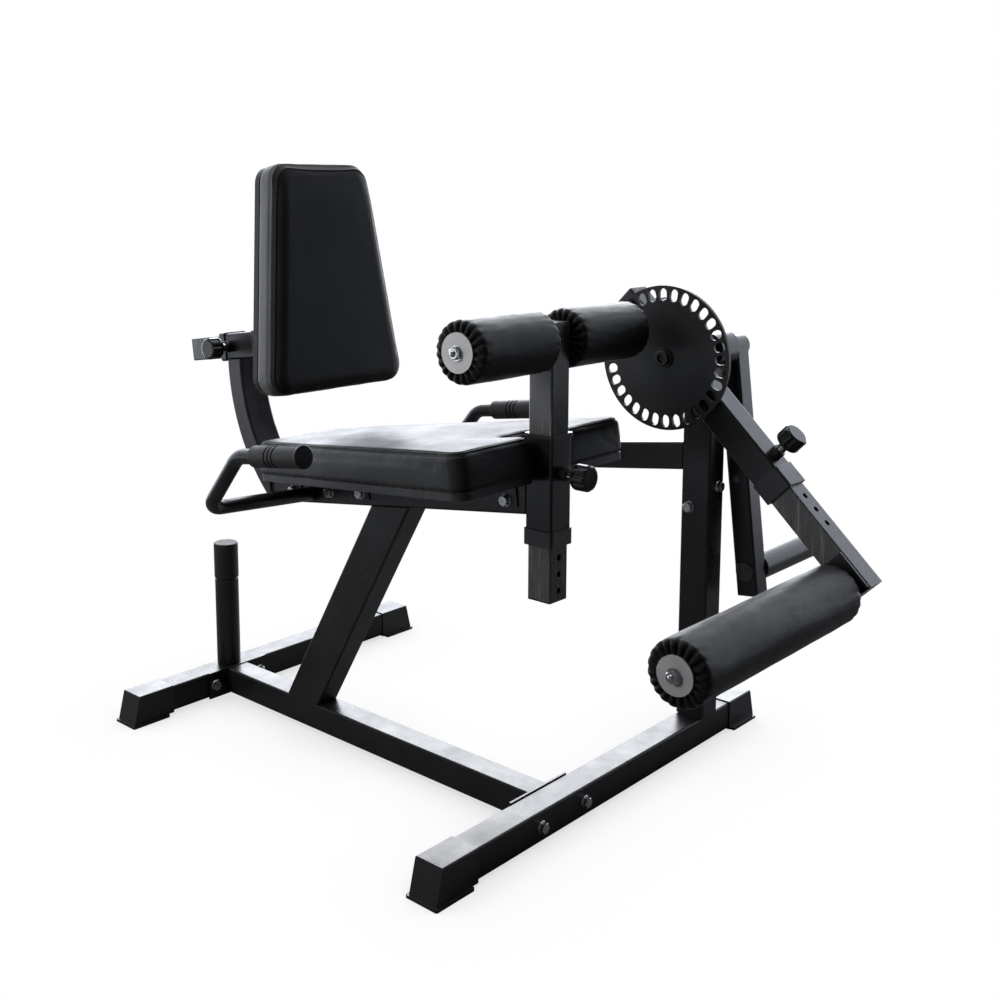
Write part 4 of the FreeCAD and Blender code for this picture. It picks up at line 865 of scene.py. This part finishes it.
def welt(piece, matrix, outline, height, name, body):
    """Thin vinyl-covered cord sewn in along the edge between the top and the side panel."""
    find = wall_finder(piece, matrix)
    up = (matrix.to_3x3() @ UP).normalized()
    count = len(outline)
    centres = []
    for index, spot in enumerate(outline):
        tangent = (outline[(index + 1) % count] - outline[index - 1]).normalized()
        outward = Vector((tangent.y, -tangent.x, 0))
        hit = find(spot, outward, height)[0]
        flat = Vector((spot.x, spot.y, height))
        sunk = (matrix.to_3x3() @ outward).normalized() * (WELT_SUNK * WELT_RADIUS)
        centres.append((hit if hit else matrix @ flat) + sunk)
    points = []
    faces = []
    for index, centre in enumerate(centres):
        along = (centres[(index + 1) % count] - centres[index - 1]).normalized()
        across = along.cross(up).normalized()
        swell = WELT_RADIUS * (1 + WELT_UNEVEN * math.sin(index * WELT_WAVE))
        for side in range(WELT_SIDES):
            angle = 2 * math.pi * side / WELT_SIDES
            offset = across * math.cos(angle) + up * math.sin(angle)
            points.append(centre + offset * swell)
    for index in range(count):
        after = (index + 1) % count
        for side in range(WELT_SIDES):
            turn = (side + 1) % WELT_SIDES
            faces.append((index * WELT_SIDES + side, after * WELT_SIDES + side,
                          after * WELT_SIDES + turn, index * WELT_SIDES + turn))
    new_piece(name, mesh_from(name, points, faces), MATERIALS["vinyl"], body)


def stitch_round(piece, matrix, outline, heights, name, body):
    """Rows of stitches laid on a cushion's side wall at the given heights."""
    find = wall_finder(piece, matrix)
    points = []
    faces = []
    pitch = STITCH_LENGTH + STITCH_GAP
    for height in heights:
        spots = resample(list(outline), pitch)
        for index, spot in enumerate(spots):
            ahead = spots[(index + 1) % len(spots)]
            tangent = (ahead - spot).normalized()
            outward = Vector((tangent.y, -tangent.x, 0))
            start, normal = find(spot, outward, height)
            end = find(spot.lerp(ahead, STITCH_LENGTH / pitch), outward, height)[0]
            if start is None or end is None:
                continue
            if (start - end).length <= 2 * STITCH_LENGTH:
                stitch(points, faces, start, end, normal)
    new_piece(name, mesh_from(name, points, faces), THREAD, body)


# ------------------------------------------------------------------- rollers

def roller_profile(length, radius, end_low, end_high):
    """Stations along a roller: (axial place, radius, share of pleating, which end)."""
    stations = []
    inner = RIM_RADIUS
    face = radius - inner
    for share in np.linspace(0, 1, RIM_STEPS)[:-1]:
        stations.append((0.0, end_low + (face - end_low) * share, share, -1))
    for angle in np.linspace(0, math.pi / 2, RIM_STEPS)[:-1]:
        stations.append((inner * (1 - math.cos(angle)), face + inner * math.sin(angle), 1.0, -1))
    for share in np.linspace(0, 1, ROLLER_STATIONS):
        stations.append((inner + (length - 2 * inner) * share, radius, None, 0))
    for angle in np.linspace(math.pi / 2, 0, RIM_STEPS)[1:]:
        stations.append((length - inner * (1 - math.cos(angle)), face + inner * math.sin(angle), 1.0, 1))
    for share in np.linspace(1, 0, RIM_STEPS)[1:]:
        stations.append((length, end_high + (face - end_high) * share, share, 1))
    return stations


def pleat_wave(angle, seed):
    """1 in the bottom of a fold and 0 on its ridge; folds are sharp and slightly uneven."""
    uneven = 0.16 * math.sin(3 * angle + seed) + 0.10 * math.sin(7 * angle + 2.1 * seed)
    phase = PLEATS * angle + uneven * 2.2
    valley = 0.5 + 0.5 * math.cos(phase)
    return valley ** PLEAT_SHARPNESS


def pleat_offset(near, height, share, valley):
    """How far a fold sinks the cover towards the axis, and how far it moves it out along the axis.

    near is the distance from the closer end, and height is how far round the rim the station is, 0 to 1.
    """
    out = RIDGE_OUT * (1 - valley) - FOLD_IN * valley
    if share is None:
        fade = max(0.0, 1 - (near - RIM_RADIUS) / PLEAT_REACH) ** 2
        return PLEAT_DEPTH * PLEAT_FADE * valley * fade, 0.0
    if near <= 1e-9:
        amount = math.sin(math.pi * share * 0.5)
        return PLEAT_DEPTH * PLEAT_FACE * valley * amount, out * amount
    return PLEAT_DEPTH * (PLEAT_FACE - PLEAT_RIM_LOSS * height) * valley, out * (1 - height)


def skin_wave(x, angle, seed):
    """Gentle unevenness of the vinyl along the roller."""
    spot = Vector((x * 9, math.cos(angle) * 1.3, math.sin(angle) * 1.3 + seed))
    return noise.noise(spot) * SKIN_WAVE + noise.noise(spot * 4.0) * SKIN_RIPPLE


def round_angles():
    """The angles at which every ring of a roller has its points."""
    count = PLEATS * STEPS_PER_PLEAT
    return [2 * math.pi * index / count for index in range(count)]


def join_rings(faces, first, second):
    """Quads between the rings whose points start at the two given places in the list."""
    count = PLEATS * STEPS_PER_PLEAT
    for index in range(count):
        after = (index + 1) % count
        faces.append((first + index, first + after, second + after, second + index))


def foam_roller(node, name, body, end_low, end_high, seed):
    """Foam roller in a vinyl sleeve whose ends are gathered into pleats."""
    low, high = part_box(node)
    length = high.x - low.x
    radius = (high.z - low.z) / 2
    centre = (low + high) / 2
    stations = roller_profile(length, radius, end_low, end_high)
    points = []
    for x, r, share, end in stations:
        near = min(x, length - x)
        height = (r - (radius - RIM_RADIUS)) / RIM_RADIUS
        for angle in round_angles():
            drop, out = pleat_offset(near, height, share, pleat_wave(angle, seed + end))
            wall = r - drop + (skin_wave(x, angle, seed) if share is None else 0.0)
            points.append((low.x + x + out * end, centre.y + wall * math.cos(angle),
                           centre.z + wall * math.sin(angle)))
    faces = []
    count = PLEATS * STEPS_PER_PLEAT
    for row in range(len(stations) - 1):
        join_rings(faces, row * count, (row + 1) * count)
    close_bore(points, faces, centre, low.x, high.x)
    mesh = mesh_from(name, points, faces)
    mesh.flip_normals()
    piece = new_piece(name, mesh, MATERIALS["roller_vinyl"], body)
    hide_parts(node)


def close_bore(points, faces, centre, x_low, x_high):
    """Joins the two end openings through the roller's bore, so that the mesh is closed."""
    first = len(points)
    count = PLEATS * STEPS_PER_PLEAT
    for x in (x_low + BORE_INSET, x_high - BORE_INSET):
        for angle in round_angles():
            points.append((x, centre.y + ROLLER_BORE * math.cos(angle),
                           centre.z + ROLLER_BORE * math.sin(angle)))
    join_rings(faces, first, 0)
    join_rings(faces, first - count, first + count)
    join_rings(faces, first + count, first)


def rollers():
    """Three rollers: one face of each is under an end disc, the other closes on its bar."""
    foam_roller("thigh_roller_right", "right_thigh_roller_cover", "right_thigh_roller",
                UNDER_DISC, ROUND_BAR, 1.0)
    foam_roller("thigh_roller_left", "left_thigh_roller_cover", "left_thigh_roller",
                ROUND_BAR, UNDER_DISC, 2.0)
    foam_roller("ankle_roller", "ankle_roller_cover", "ankle_pad", UNDER_DISC, ROUND_BAR, 3.0)


# --------------------------------------------------------------------- stage

def studio_floor():
    """White floor that fades into the white background; it shades a little under the feet."""
    half = FLOOR_HALF
    corners = [(-half, -half, 0), (half, -half, 0), (half, half, 0), (-half, half, 0)]
    mesh = mesh_from("studio_floor", corners, [(0, 1, 2, 3)])
    floor = bpy.data.objects.new("studio_floor", mesh)
    floor.location.z = CAD_BOX[0].z
    bpy.context.scene.collection.objects.link(floor)
    material, shader = new_material("studio_floor")
    clouds = noise_value(shader, 0.8, detail=4.0)
    set_input(shader, "Base Color", blend_colour(shader, clouds, grey(0.10), grey(0.13)))
    set_input(shader, "Roughness", 0.75)
    set_input(shader, "Specular IOR Level", 0.1)
    tree = material.node_tree
    open_sky = add(shader, "AmbientOcclusion", {"Distance": SHADE_REACH}, samples=8).outputs["AO"]
    level = spread(shader, open_sky, 0.35, 0.95, SHADE_LEVEL, 1.0)
    glow = add(shader, "Emission", {"Color": grey(1.0), "Strength": level}).outputs["Emission"]
    sight = add(shader, "LightPath").outputs["Is Camera Ray"]
    seen = add(shader, "MixShader", {0: sight, 1: shader.outputs["BSDF"], 2: glow})
    distance = add(shader, "VectorMath", {0: place(shader)}, operation="LENGTH").outputs["Value"]
    far = spread(shader, distance, FADE_START, FADE_END, 0.0, 1.0)
    edge = DARK_FLOOR_REACH + DARK_FLOOR_FADE
    near = spread(shader, distance, DARK_FLOOR_REACH, edge, 0.0, 1.0)
    unseen = combine(shader, "SUBTRACT", 1.0, sight)
    fade = combine(shader, "ADD", combine(shader, "MULTIPLY", far, sight),
                   combine(shader, "MULTIPLY", near, unseen))
    clear = add(shader, "BsdfTransparent").outputs["BSDF"]
    mix = add(shader, "MixShader", {0: fade, 1: seen.outputs["Shader"], 2: clear})
    tree.links.new(mix.outputs["Shader"], tree.nodes["Material Output"].inputs["Surface"])
    floor.data.materials.append(material)


def glow_towards(background, spot, heading, low, high):
    """0 to 1 as the cosine of the angle to a heading, clockwise from +Y, goes from low to high."""
    yaw = math.radians(heading)
    axis = (math.sin(yaw), math.cos(yaw), 0.0)
    facing = add(background, "VectorMath", {0: spot, 1: axis}, operation="DOT_PRODUCT")
    return spread(background, facing.outputs["Value"], low, high, 0.0, 1.0)


def studio_world():
    """White room: bright wall behind the object, softer one to its left, dark on the camera's side."""
    world = bpy.data.worlds.new("studio")
    bpy.context.scene.world = world
    world.use_nodes = True
    background = world.node_tree.nodes["Background"]
    spot = add(background, "TexCoord").outputs["Generated"]
    height = add(background, "SeparateXYZ", {0: spot}).outputs["Z"]
    wall = spread(background, height, *WALL_FADE, 1.0, WALL_TOP_SHARE)
    low = spread(background, height, *LEFT_FADE, 1.0, LEFT_HIGH_SHARE)
    behind = glow_towards(background, spot, ROOM_HEADING, *BEHIND_WIDTH)
    left = glow_towards(background, spot, ROOM_HEADING - LEFT_TURN, *LEFT_WIDTH)
    behind = combine(background, "MULTIPLY", behind, BEHIND_LEVEL)
    left = combine(background, "MULTIPLY", combine(background, "MULTIPLY", left, low), LEFT_LEVEL)
    glow = combine(background, "ADD", combine(background, "MULTIPLY", behind, wall), left)
    strength = combine(background, "ADD", glow, ROOM_LEVEL)
    sight = add(background, "LightPath").outputs["Is Camera Ray"]
    others = combine(background, "MULTIPLY", strength,
                     combine(background, "SUBTRACT", 1.0, sight))
    set_input(background, "Color", blend_colour(background, sight, COOL_WHITE, grey(1.0)))
    set_input(background, "Strength", combine(background, "ADD", sight, others))


def softbox(name, spot, aim, width, height, power):
    """Rectangular area light; spot and aim are measured from the middle of the object's box."""
    middle = (CAD_BOX[0] + CAD_BOX[1]) / 2
    light = bpy.data.lights.new(name, "AREA")
    light.shape = "RECTANGLE"
    light.size = width
    light.size_y = height
    light.energy = power
    lamp = bpy.data.objects.new(name, light)
    lamp.location = middle + Vector(spot)
    ahead = middle + Vector(aim) - lamp.location
    lamp.rotation_euler = ahead.to_track_quat("-Z", "Y").to_euler()
    bpy.context.scene.collection.objects.link(lamp)
    return lamp


def studio_lights():
    """Soft overhead light, a strip behind, and a fill that lights the cushions without a reflection."""
    softbox("overhead", **OVERHEAD)
    softbox("back_light", **BACK_LIGHT)
    fill = softbox("left_fill", **LEFT_FILL)
    fill.data.spread = math.radians(LEFT_FILL_SPREAD)
    fill.visible_glossy = False


def camera():
    """Looks along CAMERA_YAW, in degrees clockwise from +Y, with its pitch and roll."""
    middle = (CAD_BOX[0] + CAD_BOX[1]) / 2
    data = bpy.data.cameras.new("camera")
    data.sensor_width = SENSOR
    data.lens = CAMERA_LENS
    data.shift_x, data.shift_y = CAMERA_SHIFT
    eye = bpy.data.objects.new("camera", data)
    eye.location = middle + CAMERA_OFFSET
    heading = Matrix.Rotation(math.radians(-CAMERA_YAW), 4, "Z")
    pitch = Matrix.Rotation(math.radians(90 + CAMERA_PITCH), 4, "X")
    roll = Matrix.Rotation(math.radians(CAMERA_ROLL), 4, "Z")
    eye.rotation_euler = (heading @ pitch @ roll).to_euler()
    bpy.context.scene.collection.objects.link(eye)
    bpy.context.scene.camera = eye


# ---------------------------------------------------------------------- main

dress_frame()
seat_cushion()
backrest_cushion()
rollers()
studio_floor()
studio_world()
studio_lights()
camera()
bpy.context.scene.view_settings.view_transform = "Standard"
